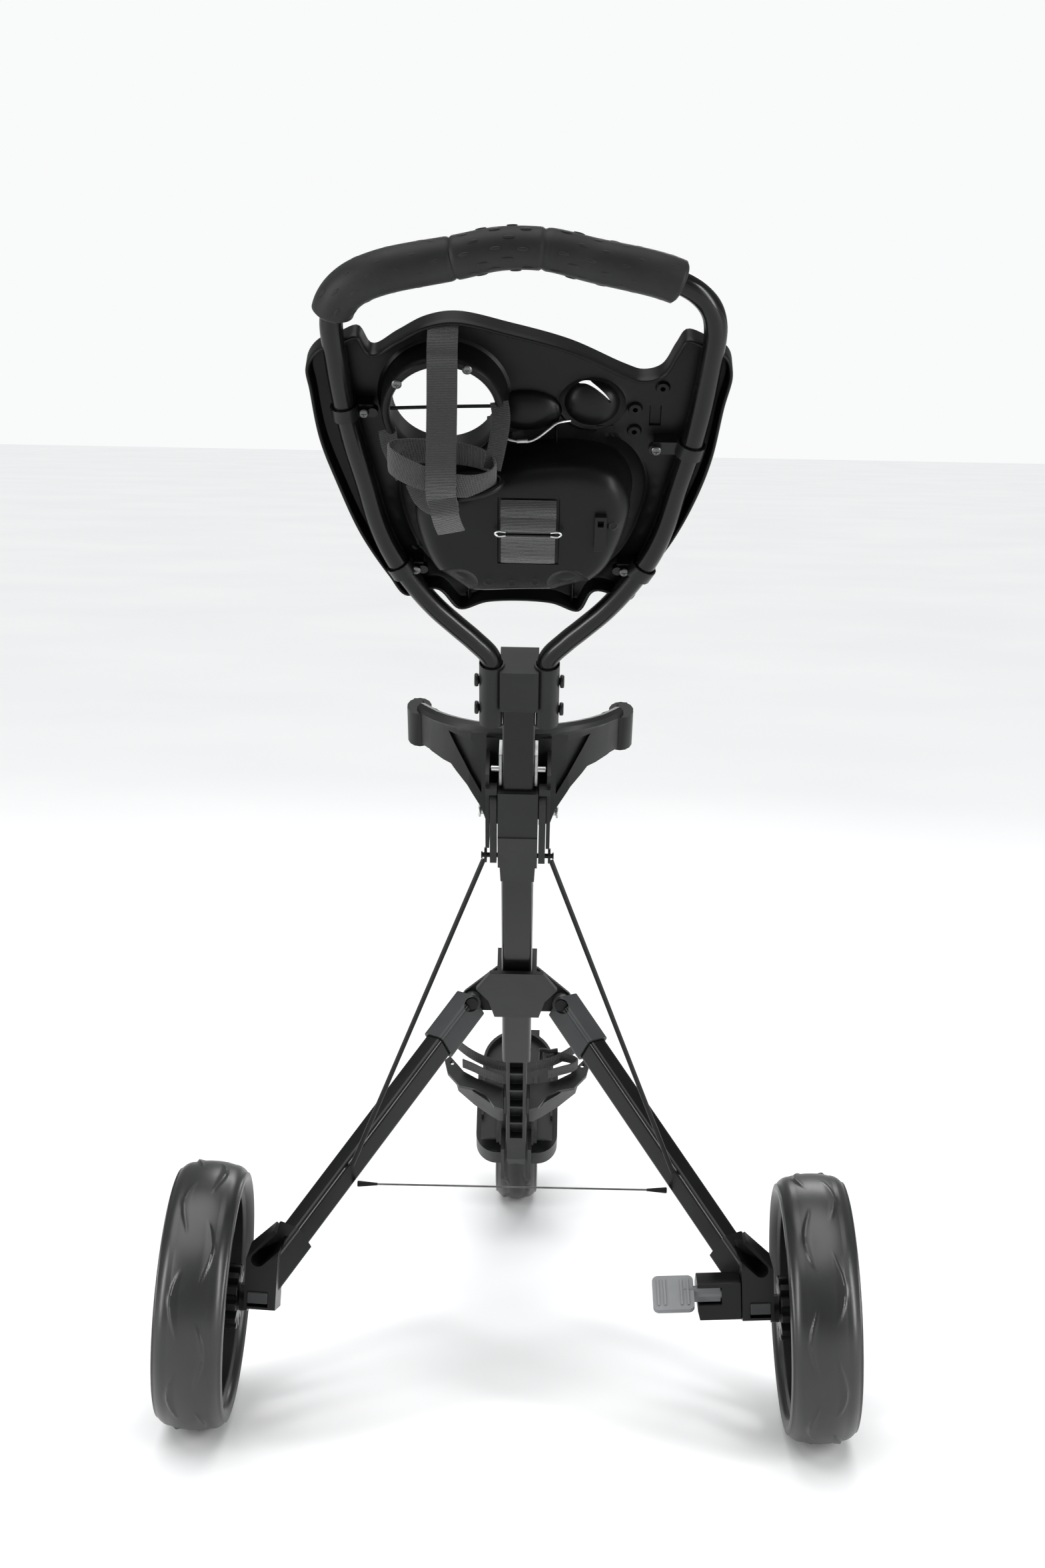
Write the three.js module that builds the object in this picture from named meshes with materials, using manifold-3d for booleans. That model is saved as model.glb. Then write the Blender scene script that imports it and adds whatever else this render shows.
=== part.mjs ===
// A folding three-wheel golf push cart: a sloping main tube with a knee, two swing-in rear legs,
// a handle loop with a console, two bag cradles, a bag rest over the front wheel and a foot brake.
// Millimetres, +X to the cart's right seen from behind, +Y forward, +Z up.
import * as THREE from "three";
import { mergeVertices } from "three/addons/utils/BufferGeometryUtils.js";
import Module from "manifold-3d";

const wasm = await Module();
wasm.setup();

// ---- Driving dimensions ----
const gap = 0.3; // between neighbouring pieces

// wheels
const rearWheelRadius = 135;
const rearTyreWidth = 69;
const rearRimRadius = 111;
const track = 613;
const camberDeg = 3;
const frontWheelRadius = 110;
const frontTyreWidth = 53;
const frontRimRadius = 88;
const wheelbase = 720;
const axleRadius = 6;
const spinClearance = 0.6;

// main tube, which changes slope at the knee
const kneeY = -27.5;
const kneeZ = 611.4;
const lowerSlopeDeg = 42; // above the horizontal
const upperSlopeDeg = 56.5;
const tubeWidth = 32;
const tubeDepth = 32;
const tubeCorner = 4;
const tubeWall = 3.4;
const lowerTubeLength = 482;
const upperTubeWidth = 30;
const upperTubeBottom = 62;
const upperTubeTop = 206;

// boom that carries the front wheel
const boomTopWidth = 28;
const boomEndWidth = 24.6;
const boomDepth = 22;
const boomTop = -425;
const boomPastAxle = 134; // of the boom's end above the front axle, along the boom
const boomSlack = 1; // round the boom in the lower tube

// handle loop
const handleTubeRadius = 9.6;
const handleHalfWidth = 155;
const handleTop = 635;
const handleDepth = 9; // of the loop's middle plane in front of the tube's back face
const gripRadius = 18.5;
const socketClearance = 0.4; // between the loop's end and the upper tube
const socketHalfSpan = upperTubeWidth / 2 + handleTubeRadius + socketClearance;
const bracketBottom = 142;
const bracketHeight = 70;
const bracketWall = 2.2;

// console
const consoleBack = 22; // back face of the console plate, in front of the tube's back face
const consoleThickness = 4;
const consoleRim = 3;
const cupRadius = 44;
const cupWall = 7.5;
const cupX = -65;
const cupZ = 489;
const binDepth = 47; // how far the bin stands out behind the plate
const lidThickness = 5;
const lidHinge = 458;

// upper cradle
const bagRadius = 103;
const cradleWall = 10;
const cradleTipReach = 98;
const cradleTipHeight = 40;
const cradleTop = 106;
const cradleFront = 34; // of the saddle's middle, in front of the tube's back face

// lower cradle
const lowerCradleAt = -604;
const lowerCradleThickness = 7;
const lowerCradleReach = 84;
const lowerBagRadius = 108;

// legs
const legTop = new THREE.Vector3(48, 230, 386);
const legInboard = 56.5; // of its foot from the wheel's middle
const legEnd = new THREE.Vector3(track / 2 - legInboard, 0, 150);
const legWide = 28;
const legDeep = 22;
const legTwistDeg = 38;

// yoke and rods that swing the legs
const yokeAlong = -34;
const linkSlack = 1; // between the casting and a link
const linkThickness = 6.5;
const rodBeyondLink = 4.3;
const rodRadius = 2.5;
const rodAlongLeg = 0.62; // where the rod holds the leg, as a share of the leg
const rodOffset = new THREE.Vector3(-8.44, -16.8, 9.22); // from the leg's middle line
const rodEnd = new THREE.Vector3().lerpVectors(legTop, legEnd, rodAlongLeg).add(rodOffset);

// brake
const pedalLength = 40;
const pedalWidth = 41;
const pedalTiltDeg = 55; // of its face from the vertical
const pedalRibs = [5.5, 12, 28.5, 35]; // across the pedal from its left edge

// ---- Colours and finishes ----
const finish = (colour, roughness, metalness) =>
  new THREE.MeshStandardMaterial({ color: colour, roughness, metalness });
const plastic = finish("#2f3031", 0.55, 0);
const consolePlastic = finish("#262728", 0.5, 0);
const blackTube = finish("#1b1c1e", 0.25, 0.1);
const foam = finish("#2b2c2d", 0.85, 0);
const rubber = finish("#333435", 0.7, 0);
const webbing = finish("#202122", 0.95, 0);
const zinc = finish("#9aa0a0", 0.4, 0.8);
const greyPlastic = finish("#7d8382", 0.5, 0);

// ---- Solids ----
const rad = THREE.MathUtils.degToRad;

function manifoldOf(points, triVerts) {
  const mesh = new wasm.Mesh({ numProp: 3, vertProperties: points, triVerts });
  return new wasm.Manifold(mesh);
}

// A closed three.js geometry as a solid, turned right side out where a sweep came out reversed.
function solid(geometry) {
  const bare = new THREE.BufferGeometry();
  const flat = geometry.index ? geometry.toNonIndexed() : geometry;
  bare.setAttribute("position", flat.getAttribute("position"));
  const merged = mergeVertices(bare, 1e-3);
  const points = merged.attributes.position.array;
  const triVerts = new Uint32Array(merged.index.array);
  const made = manifoldOf(points, triVerts);
  if (made.volume() >= 0) return made;
  for (let i = 0; i < triVerts.length; i += 3) {
    [triVerts[i + 1], triVerts[i + 2]] = [triVerts[i + 2], triVerts[i + 1]];
  }
  return manifoldOf(points, triVerts);
}

function geometryOf(body) {
  const mesh = body.getMesh();
  const count = mesh.vertProperties.length / mesh.numProp;
  const points = new Float32Array(count * 3);
  for (let i = 0; i < count; i++) {
    const from = i * mesh.numProp;
    points.set(mesh.vertProperties.subarray(from, from + 3), i * 3);
  }
  const geometry = new THREE.BufferGeometry();
  geometry.setAttribute("position", new THREE.BufferAttribute(points, 3));
  geometry.setIndex(new THREE.BufferAttribute(mesh.triVerts, 1));
  return geometry;
}

const join = (first, ...others) => others.reduce((whole, one) => whole.add(one), first);
const cut = (first, ...others) => others.reduce((whole, one) => whole.subtract(one), first);

function block([x0, x1], [y0, y1], [z0, z1]) {
  const geometry = new THREE.BoxGeometry(x1 - x0, y1 - y0, z1 - z0);
  geometry.translate((x0 + x1) / 2, (y0 + y1) / 2, (z0 + z1) / 2);
  return solid(geometry);
}

// A cylinder between two points, or a cone where the radii differ.
function cylinder(from, to, radius, endRadius = radius, sides = 20) {
  const along = new THREE.Vector3().subVectors(to, from);
  const geometry = new THREE.CylinderGeometry(endRadius, radius, along.length(), sides);
  geometry.translate(0, along.length() / 2, 0);
  const turn = new THREE.Quaternion().setFromUnitVectors(
    new THREE.Vector3(0, 1, 0),
    along.clone().normalize(),
  );
  geometry.applyQuaternion(turn);
  geometry.translate(from.x, from.y, from.z);
  return solid(geometry);
}
const at = (x, y, z) => new THREE.Vector3(x, y, z);
const crossBar = (x0, x1, y, z, radius, sides = 16) =>
  cylinder(at(x0, y, z), at(x1, y, z), radius, radius, sides);

// Outlines
const vector2 = (points) => points.map(([x, y]) => new THREE.Vector2(x, y));
const outline = (points) => new THREE.Shape(vector2(points));
const mirrored = (half) => [...half, ...half.map(([x, y]) => [-x, y]).reverse()];

function roundedOutline(width, height, corner) {
  const shape = new THREE.Shape();
  const w = width / 2;
  const h = height / 2;
  shape.absarc(w - corner, h - corner, corner, 0, Math.PI / 2);
  shape.absarc(-w + corner, h - corner, corner, Math.PI / 2, Math.PI);
  shape.absarc(-w + corner, -h + corner, corner, Math.PI, 1.5 * Math.PI);
  shape.absarc(w - corner, -h + corner, corner, 1.5 * Math.PI, 2 * Math.PI);
  return shape;
}

// A closed smooth outline through a few points.
function smoothOutline(points, divisions) {
  const curve = new THREE.CatmullRomCurve3(
    points.map(([x, y]) => at(x, y, 0)),
    true,
    "centripetal",
  );
  return new THREE.Shape(
    curve.getSpacedPoints(divisions).slice(0, -1).map((p) => new THREE.Vector2(p.x, p.y)),
  );
}

// The same outline drawn in by a wall's thickness.
function inset(shape, wall) {
  const points = shape.getPoints();
  const drawn = points.map((p, i) => {
    const before = points[(i + points.length - 1) % points.length];
    const after = points[(i + 1) % points.length];
    const along = new THREE.Vector2().subVectors(after, before).normalize();
    const inward = new THREE.Vector2(-along.y, along.x);
    const side = THREE.ShapeUtils.isClockWise(points) ? -wall : wall;
    return p.clone().addScaledVector(inward, side);
  });
  return new THREE.Shape(drawn);
}

// A prism of an outline drawn in X and Y, standing along Z.
function prism(shape, z0, z1, curveSegments = 3) {
  const settings = { depth: z1 - z0, bevelEnabled: false, curveSegments };
  const geometry = new THREE.ExtrudeGeometry(shape, settings);
  geometry.translate(0, 0, z0);
  return solid(geometry);
}

// A prism of an outline drawn in X and Z, lying along Y.
function slab(shape, y0, y1, curveSegments = 3) {
  const settings = { depth: y1 - y0, bevelEnabled: false, curveSegments };
  const geometry = new THREE.ExtrudeGeometry(shape, settings);
  geometry.rotateX(Math.PI / 2);
  geometry.translate(0, y1, 0);
  return solid(geometry);
}

// A prism of an outline drawn in Y and Z, lying along X.
function sidePlate(shape, x0, x1, curveSegments = 3) {
  const settings = { depth: x1 - x0, bevelEnabled: false, curveSegments };
  const geometry = new THREE.ExtrudeGeometry(shape, settings);
  geometry.rotateX(Math.PI / 2);
  geometry.rotateZ(Math.PI / 2);
  geometry.translate(x0, 0, 0);
  return solid(geometry);
}

function sweep(points, radius, steps, sides) {
  const section = new THREE.Shape();
  section.absarc(0, 0, radius, 0, 2 * Math.PI);
  const curve = new THREE.CatmullRomCurve3(points, false, "centripetal");
  const settings = { steps, curveSegments: sides, bevelEnabled: false, extrudePath: curve };
  return solid(new THREE.ExtrudeGeometry(section, settings));
}

// A solid of revolution about X. Profile points are [distance from the axis, x].
function turned(profile, segments) {
  const geometry = new THREE.LatheGeometry(vector2(profile), segments);
  geometry.rotateZ(-Math.PI / 2);
  return solid(geometry);
}

// ---- Placing ----
function piece(name, body, material) {
  const mesh = new THREE.Mesh(geometryOf(body), material);
  mesh.name = name;
  return mesh;
}

const cart = new THREE.Group();

// Both tube frames have their origin at the knee, on the tube's back face: local Z runs up the tube
// and local Y points out of its front face.
function tubeFrame(slopeDeg) {
  const frame = new THREE.Group();
  frame.position.set(0, kneeY, kneeZ);
  frame.rotation.x = rad(90 - slopeDeg);
  cart.add(frame);
  return frame;
}
const lowerFrame = tubeFrame(lowerSlopeDeg);
const upperFrame = tubeFrame(upperSlopeDeg);

// A point of the cart, told in a tube's frame.
function inTubeFrame(slopeDeg, y, z) {
  const slope = rad(slopeDeg);
  const dy = y - kneeY;
  const dz = z - kneeZ;
  return {
    y: dy * Math.sin(slope) + dz * Math.cos(slope),
    z: -dy * Math.cos(slope) + dz * Math.sin(slope),
  };
}

// ---- Lower tube, boom and knee ----
const frontAxle = inTubeFrame(lowerSlopeDeg, wheelbase, frontWheelRadius);
const boomEnd = frontAxle.z + boomPastAxle;
const kneeCollarTop = upperTubeBottom - gap;
const lowerTubeTop = -4;

function lowerTube() {
  const shape = roundedOutline(tubeWidth, tubeDepth, tubeCorner);
  let tube = prism(shape, -lowerTubeLength, lowerTubeTop);
  const bore = roundedOutline(tubeWidth - 2 * tubeWall, tubeDepth - 2 * tubeWall, 1.5);
  tube = cut(tube, prism(bore, -lowerTubeLength - 1, boomTop + 2));
  tube = tube.translate([0, tubeDepth / 2, 0]);
  // the end is cut on a slant
  const slant = block([-40, 40], [0, 80], [-80, 0]);
  return cut(tube, slant.rotate([-38, 0, 0]).translate([0, 6, -lowerTubeLength]));
}

// A tapering bar with a channel and cross ribs along its back.
function boom() {
  const channelHalf = 7.5;
  const inTube = tubeWidth / 2 - tubeWall - boomSlack;
  const half = [
    [inTube, boomTop],
    [inTube, -lowerTubeLength],
    [boomEndWidth / 2, boomEnd],
  ];
  const back = 4.6;
  let bar = slab(outline(mirrored(half)), back, back + boomDepth);
  const channelDepth = 9;
  const ribStep = 44;
  const channelTop = -lowerTubeLength + 2;
  for (let z = channelTop; z > boomEnd + 2 * ribStep; z -= ribStep) {
    bar = cut(
      bar,
      block([-channelHalf, channelHalf], [back - 1, back + channelDepth], [z - ribStep + 5, z]),
    );
  }
  return bar;
}

// The short spoon-shaped end of the boom, hollowed at its tip.
function boomTongue() {
  const half = boomEndWidth / 2 - 0.6;
  const top = boomEnd - gap;
  const body = slab(
    outline(mirrored([[half, top], [half - 2, top - 17]])),
    5,
    13,
  );
  return cut(body, cylinder(at(0, 2, top - 26), at(0, 16, top - 26), 13, 13, 24));
}

// The knee casting's square block above the bend.
const kneeWall = 3.2;
const kneeWrapEnd = -20; // how far the casting reaches down the lower tube
function kneeCollar() {
  const half = tubeWidth / 2 + kneeWall;
  const body = block([-half, half], [-kneeWall, tubeDepth + 2], [0, kneeCollarTop]);
  const rib = block([-half, half], [-kneeWall - 0.8, 0], [kneeCollarTop - 4, kneeCollarTop]);
  return join(body, rib);
}
function kneeTail() {
  const top = tubeWidth / 2 + 2.2;
  const bottom = top - 1.6;
  const plate = slab(outline(mirrored([[top, kneeWrapEnd - gap], [bottom, -76]])), -3, -gap);
  const flank = (side) =>
    block([side * top - 1, side * top + 1], [-3, 15], [-50, kneeWrapEnd - gap]);
  return cut(
    join(plate, flank(1), flank(-1)),
    block([-tubeWidth / 2 - gap, tubeWidth / 2 + gap], [-gap, 60], [-90, 10]),
  );
}

// The yoke's cross pin slides in this slot.
function yokeSlot() {
  const travel = 23;
  const half = 3;
  const shape = new THREE.Shape();
  shape.absarc(2, yokeAlong, half, 0, Math.PI);
  shape.absarc(2, yokeAlong - travel, half, Math.PI, 2 * Math.PI);
  return sidePlate(shape, -60, 60, 4);
}

lowerFrame.add(
  piece("lower_tube", cut(lowerTube(), yokeSlot()), blackTube),
  piece("boom", boom(), plastic),
  piece("boom_tongue", boomTongue(), greyPlastic),
  piece("knee_tail", cut(kneeTail(), yokeSlot()), plastic),
);

// ---- Yoke: two side links on one cross pin, which slides in a slot through the tube ----
const linkInner = tubeWidth / 2 + kneeWall + linkSlack;
const linkOuter = linkInner + linkThickness;
const yokeRodX = linkOuter + rodBeyondLink;
const yokePinRadius = 2.4;
const yokePinY = 2;
function yoke() {
  const linkShape = new THREE.Shape();
  const linkHalf = 8;
  linkShape.absarc(yokePinY, yokeAlong, linkHalf, Math.PI, 2 * Math.PI);
  linkShape.absarc(16, 46, linkHalf, 0, Math.PI);
  const pinEnd = yokeRodX + 4.4;
  const link = sidePlate(linkShape, linkInner, linkOuter, 4);
  const pin = crossBar(-pinEnd, pinEnd, yokePinY, yokeAlong, yokePinRadius, 12);
  const head = crossBar(pinEnd - 1.4, pinEnd, yokePinY, yokeAlong, 3.4, 12);
  return join(pin, link, link.mirror([1, 0, 0]), head, head.mirror([1, 0, 0]));
}
lowerFrame.add(piece("yoke", yoke(), plastic));

// ---- Upper tube, bracket and handle loop ----
function upperTube() {
  const shape = roundedOutline(upperTubeWidth, upperTubeWidth, 3);
  return prism(shape, upperTubeBottom, upperTubeTop).translate([0, upperTubeWidth / 2, 0]);
}

const handlePath = mirroredPath([
  [socketHalfSpan, bracketBottom + 8],
  [socketHalfSpan, bracketBottom + bracketHeight - 7],
  [socketHalfSpan + 2, bracketBottom + bracketHeight + 7],
  [41, 237],
  [57, 254],
  [75, 274],
  [92, 298],
  [111, 332],
  [123, 366],
  [132, 408],
  [141, 447],
  [148, 488],
  [handleHalfWidth - 2, 532],
  [handleHalfWidth, 566],
  [handleHalfWidth - 5, 584],
  [handleHalfWidth - 18, 599],
  [handleHalfWidth - 42, handleTop - 24],
  [55, handleTop - 10],
  [18, handleTop - 1],
]);
function mirroredPath(half) {
  const right = half.map(([x, z]) => at(x, handleDepth, z));
  const left = half.map(([x, z]) => at(-x, handleDepth, z)).reverse();
  return [...right, ...left];
}
const handleCurve = new THREE.CatmullRomCurve3(handlePath, false, "centripetal");

function stretch(from, to, count) {
  const points = [];
  for (let i = 0; i <= count; i++) {
    points.push(handleCurve.getPointAt(from + ((to - from) * i) / count));
  }
  return points;
}
// The handle curve starts at the right-hand socket and ends at the left-hand one.
const gripStart = 0.3985;
const gripEnd = 0.638;
const boltReach = socketHalfSpan + handleTubeRadius + bracketWall;
const boltHeights = [bracketBottom + 16, bracketBottom + 49];
const boltHole = (z) => crossBar(-60, 60, handleDepth, z, 3 + gap, 12);

const handleSteps = 52;
const handleSweep = (radius) => sweep(handlePath, radius, handleSteps, 5);

function handleTube() {
  return cut(handleSweep(handleTubeRadius), ...boltHeights.map(boltHole));
}

function grip() {
  const body = sweep(stretch(gripStart, gripEnd, 14), gripRadius, 20, 6);
  return cut(body, handleSweep(handleTubeRadius + gap));
}

// Two round sockets with a square sleeve between them.
function handleBracket() {
  const outer = handleTubeRadius + bracketWall;
  const top = bracketBottom + bracketHeight;
  const socket = (side) =>
    cylinder(
      at(side * socketHalfSpan, handleDepth, bracketBottom),
      at(side * socketHalfSpan, handleDepth, top),
      outer,
      outer,
      18,
    );
  const middleHalf = upperTubeWidth / 2 + 2.6;
  const sleeve = block(
    [-middleHalf, middleHalf],
    [-4, upperTubeWidth + 4],
    [bracketBottom + 22, top - 2],
  );
  const tubeSpace = block(
    [-upperTubeWidth / 2 - gap, upperTubeWidth / 2 + gap],
    [-gap, upperTubeWidth + gap],
    [0, upperTubeTop + gap],
  );
  const bore = (side) =>
    cylinder(
      at(side * socketHalfSpan, handleDepth, bracketBottom + 8 - gap),
      at(side * socketHalfSpan, handleDepth, top + 40),
      handleTubeRadius + 2 * gap,
      handleTubeRadius + 2 * gap,
      14,
    );
  return cut(
    join(socket(1), socket(-1), sleeve),
    tubeSpace,
    bore(1),
    bore(-1),
    handleSweep(handleTubeRadius + gap),
    ...boltHeights.map(boltHole),
  );
}

const ordered = (a, b) => (a < b ? [a, b] : [b, a]);
const boltNode = (name, z) => {
  const headOut = boltReach + 4.2;
  const shank = crossBar(-boltReach - gap, boltReach + gap, handleDepth, z, 3, 12);
  const head = (side) =>
    crossBar(...ordered(side * (boltReach + gap), side * headOut), handleDepth, z, 6.2);
  return piece(name, join(shank, head(1), head(-1)), plastic);
};

// ---- Console ----
// outline as [x, z] of the tube frame, clockwise from the left horn
const consoleShape = smoothOutline(
  [
    [-150, 546], [-135, 552], [-124, 535], [-103, 548], [-80, 562], [-55, 567], [-11, 557],
    [39, 542], [84, 520], [99, 515], [114, 520], [125, 541], [133, 554], [150, 548], [167, 538],
    [172, 522], [167, 489], [160, 437], [149, 396], [132, 353], [106, 306], [97, 287],
    [66, 296], [52, 273], [26, 282], [-28, 282], [-54, 273], [-74, 295], [-101, 287],
    [-116, 309], [-139, 353], [-157, 405], [-170, 451], [-176, 499], [-178, 522], [-168, 538],
  ],
  56,
);
const binShape = smoothOutline(
  [
    [-90, 405], [-60, 424], [0, 443], [50, 447], [80, 437], [94, 410], [90, 374], [74, 335],
    [50, 317], [0, 312], [-48, 312], [-72, 330], [-88, 367],
  ],
  30,
);
const consoleFront = consoleBack + consoleThickness;
const binBack = consoleBack - binDepth;
const lidAxisY = consoleFront + 5;
const lidKnuckle = 3.8;
const lidEars = [-30, 62];
const clampOuter = handleTubeRadius + 2.6;
const earLength = 14;

function consoleBody() {
  const wall = consoleRim;
  const inner = inset(consoleShape, wall);
  const plate = slab(consoleShape, consoleBack, consoleFront);
  const rimBack = handleDepth - 2;
  const rim = cut(
    slab(consoleShape, rimBack, consoleFront),
    slab(inner, rimBack - 1, consoleFront + 1),
  );
  const cup = at(cupX, 0, cupZ);
  const round = (radius, y0, y1, sides) =>
    cylinder(at(cup.x, y0, cup.z), at(cup.x, y1, cup.z), radius, radius, sides);
  const ring = round(cupRadius + cupWall, -7, consoleFront, 28);
  const ear = (x) =>
    join(
      crossBar(x, x + earLength, lidAxisY, lidHinge, lidKnuckle),
      block([x, x + earLength], [consoleBack, lidAxisY], [lidHinge - 3, lidHinge + lidKnuckle]),
    );
  const whole = join(plate, rim, ring, slab(binShape, binBack, consoleFront), ...lidEars.map(ear));
  const pinHole = crossBar(-200, 200, lidAxisY, lidHinge, 1.6 + gap, 10);
  return cut(
    whole,
    round(cupRadius, -20, 60, 26),
    slab(inset(binShape, wall), binBack + wall, consoleFront + 40),
    sweep(handlePath, clampOuter + 4 * gap, 30, 6),
    pinHole,
  );
}

function consoleLid() {
  const lid = slab(binShape, consoleFront + gap, consoleFront + gap + lidThickness);
  const knuckleStart = lidEars[0] + earLength + 0.5;
  const knuckleEnd = lidEars[1] - 0.5;
  const knuckle = crossBar(knuckleStart, knuckleEnd, lidAxisY, lidHinge, lidKnuckle);
  const tongue = block(
    [knuckleStart, knuckleEnd],
    [consoleFront + 1, consoleFront + gap + lidThickness],
    [415, lidHinge],
  );
  const pull = block([-14, 22], [consoleFront + gap, consoleFront + 9], [304, 318]);
  return cut(
    join(lid, knuckle, tongue, pull),
    crossBar(-200, 200, lidAxisY, lidHinge, 1.6 + gap, 10),
  );
}
const lidPin = () =>
  crossBar(lidEars[0] + 1, lidEars[1] + earLength - 1, lidAxisY, lidHinge, 1.6, 10);

// A sling of webbing under the cup ring: one strap down its back and one band round the cup.
const strapWidth = 25;
const strapThickness = 2.2;
const bandY = -34;
const bandZ = 456;
const bandHalf = [44, 22];
function cupStrap() {
  const back = bandY - bandHalf[1] - strapThickness - gap;
  const run = [[-7.6, cupZ + cupRadius + 4], [-24, 508], [back + 4, 474], [back, 458], [back, 434]];
  const outer = run.map(([y, z]) => [y - strapThickness, z]).reverse();
  return sidePlate(outline([...run, ...outer]), cupX - strapWidth / 2, cupX + strapWidth / 2);
}
function cupBand() {
  const height = 23;
  const loop = (grow) => {
    const shape = new THREE.Shape();
    shape.absellipse(cupX, bandY, bandHalf[0] + grow, bandHalf[1] + grow, 0, 2 * Math.PI);
    return shape;
  };
  const z0 = bandZ - height / 2;
  const band = cut(
    prism(loop(0), z0, z0 + height, 14),
    prism(loop(-strapThickness), z0 - 1, z0 + height + 1, 14),
  );
  return band;
}

function binPatch() {
  const [x0, x1] = [-18, 31];
  return block([x0, x1], [binBack - gap - 2.4, binBack - gap], [352, 418]);
}
function binLatch() {
  const x = 67.5;
  const body = block([x - 5, x + 5], [binBack - gap - 5, binBack - gap], [368, 404]);
  return cut(body, block([x - 2.5, x + 2.5], [binBack - 20, binBack], [394, 400]));
}

// A clamp round the handle tube with a tab screwed to the console.
function handleParam(z) {
  let low = 0.05;
  let high = 0.4;
  for (let i = 0; i < 30; i++) {
    const middle = (low + high) / 2;
    if (handleCurve.getPointAt(middle).z < z) low = middle;
    else high = middle;
  }
  return low;
}
function handleClamp(side, z, reach) {
  const u = handleParam(z);
  const middle = handleCurve.getPointAt(u);
  const along = handleCurve.getTangentAt(u).multiplyScalar(side * 6);
  const centre = at(side * middle.x, middle.y, middle.z);
  const step = at(along.x, along.y, side * along.z);
  const from = centre.clone().sub(step);
  const ring = cylinder(from, centre.clone().add(step), clampOuter, clampOuter, 16);
  const inward = middle.x - handleTubeRadius - reach;
  const tab = block(
    [middle.x - reach - 7, middle.x],
    [middle.y, consoleBack - gap],
    [z - 6, z + 6],
  );
  const placed = side > 0 ? tab : tab.mirror([1, 0, 0]);
  const shank = cylinder(
    at(side * (inward + 3), middle.y - 3, z),
    at(side * (inward + 3), middle.y + 4, z),
    4.5,
    4.5,
    12,
  );
  const bore = cylinder(
    centre.clone().addScaledVector(step, -4),
    centre.clone().addScaledVector(step, 4),
    handleTubeRadius + 3 * gap,
    handleTubeRadius + 3 * gap,
    14,
  );
  return cut(join(ring, placed, shank), bore);
}

// ---- Upper cradle and its hinge ----
const hinge = { y: 47, z: -8 };
const hingePinRadius = 3.4;
const knuckleRadius = 7.5;
const housingWall = 3.7;
const housingHalf = linkOuter + 2 * gap + housingWall;
const cradleMiddle = cradleFront + 12; // inner face of the saddle at its middle
const bagCentre = cradleMiddle + bagRadius;
const saddleY = (x, radius) => bagCentre - Math.sqrt(radius ** 2 - x ** 2);

function upperCradle() {
  const outerRadius = bagRadius + cradleWall;
  const round = (radius, z0, z1, sides = 44) =>
    cylinder(at(0, bagCentre, z0), at(0, bagCentre, z1), radius, radius, sides);
  const face = outline(
    mirrored([
      [0, cradleTop - 2], [50, cradleTop - 8], [80, 90], [cradleTipReach, 77],
      [cradleTipReach + 6, 77], [cradleTipReach + 6, 77 - cradleTipHeight],
      [cradleTipReach - 10, 44], [66, 44], [50, 25], [36, 0], [housingHalf, -17],
    ]),
  );
  const ringWall = cut(round(outerRadius, -40, 140), round(bagRadius, -50, 150));
  const frontHalf = block([-200, 200], [bagCentre - 34, bagCentre + 300], [-60, 160]);
  const saddle = cut(ringWall.intersect(slab(face, -20, bagCentre)), frontHalf);
  const pocketFace = outline([[68, 85], [46, 86], [36, 72], [36, 20], [48, 44]]);
  const pocketDepth = cut(round(outerRadius + 20, -40, 140), round(outerRadius - 4, -50, 150));
  const pocket = pocketDepth.intersect(slab(pocketFace, -30, bagCentre));
  const tip = (side) => {
    const y = saddleY(cradleTipReach, bagRadius + 6);
    return cylinder(
      at(side * cradleTipReach, y, 77 - cradleTipHeight),
      at(side * cradleTipReach, y, 79),
      12,
      12,
      14,
    );
  };
  const lip = [];
  for (let angle = -62; angle <= 62; angle += 15.5) {
    const radius = bagRadius + cradleWall / 2;
    const y = bagCentre - radius * Math.cos(rad(angle));
    const x = radius * Math.sin(rad(angle));
    lip.push(at(x, y, cradleTop - 6 - 0.42 * (y - cradleMiddle)));
  }
  const housing = (side) => {
    const x = ordered(side * (housingHalf - housingWall), side * housingHalf);
    return block(x, [3, cradleMiddle + 2], [-16, 80]);
  };
  const crossPiece = (side) => {
    const x = ordered(side * (tubeWidth / 2 + kneeWall + 0.8), side * housingHalf);
    return block(x, [-2, 7], [58, 66]);
  };
  const webBack = tubeDepth + 5.4;
  const web = block([-housingHalf, housingHalf], [webBack, cradleMiddle + 2], [hinge.z, 96]);
  const half = tubeWidth / 2 + kneeWall + 0.6;
  const belowHinge = block([-half, half], [-20, 90], [-60, hinge.z]);
  const knuckle = (x0, x1) => crossBar(x0, x1, hinge.y, hinge.z, knuckleRadius, 20);
  const earSpace = (side) => {
    const x = ordered(side * 7.6, side * 16.9);
    return join(
      crossBar(...x, hinge.y, hinge.z, knuckleRadius + 1, 20),
      block(x, [20, hinge.y], [hinge.z - 20, hinge.z + knuckleRadius + 1]),
    );
  };
  const behindTube = block([-15.6, 15.6], [-20, cradleFront + 0.6], [-60, 200]);
  const behindCasting = block([-half, half], [-20, webBack], [-60, upperTubeBottom + 1]);
  const shell = join(saddle, sweep(lip, 6.2, 16, 4), housing(1), housing(-1), web);
  return cut(
    join(
      cut(shell, pocket, pocket.mirror([1, 0, 0])),
      tip(1),
      tip(-1),
      crossPiece(1),
      crossPiece(-1),
    ),
    belowHinge,
    behindTube,
    behindCasting,
  )
    .add(knuckle(-half, half))
    .subtract(join(earSpace(1), earSpace(-1)))
    .subtract(crossBar(-60, 60, hinge.y, hinge.z, hingePinRadius + gap, 16));
}

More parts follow.
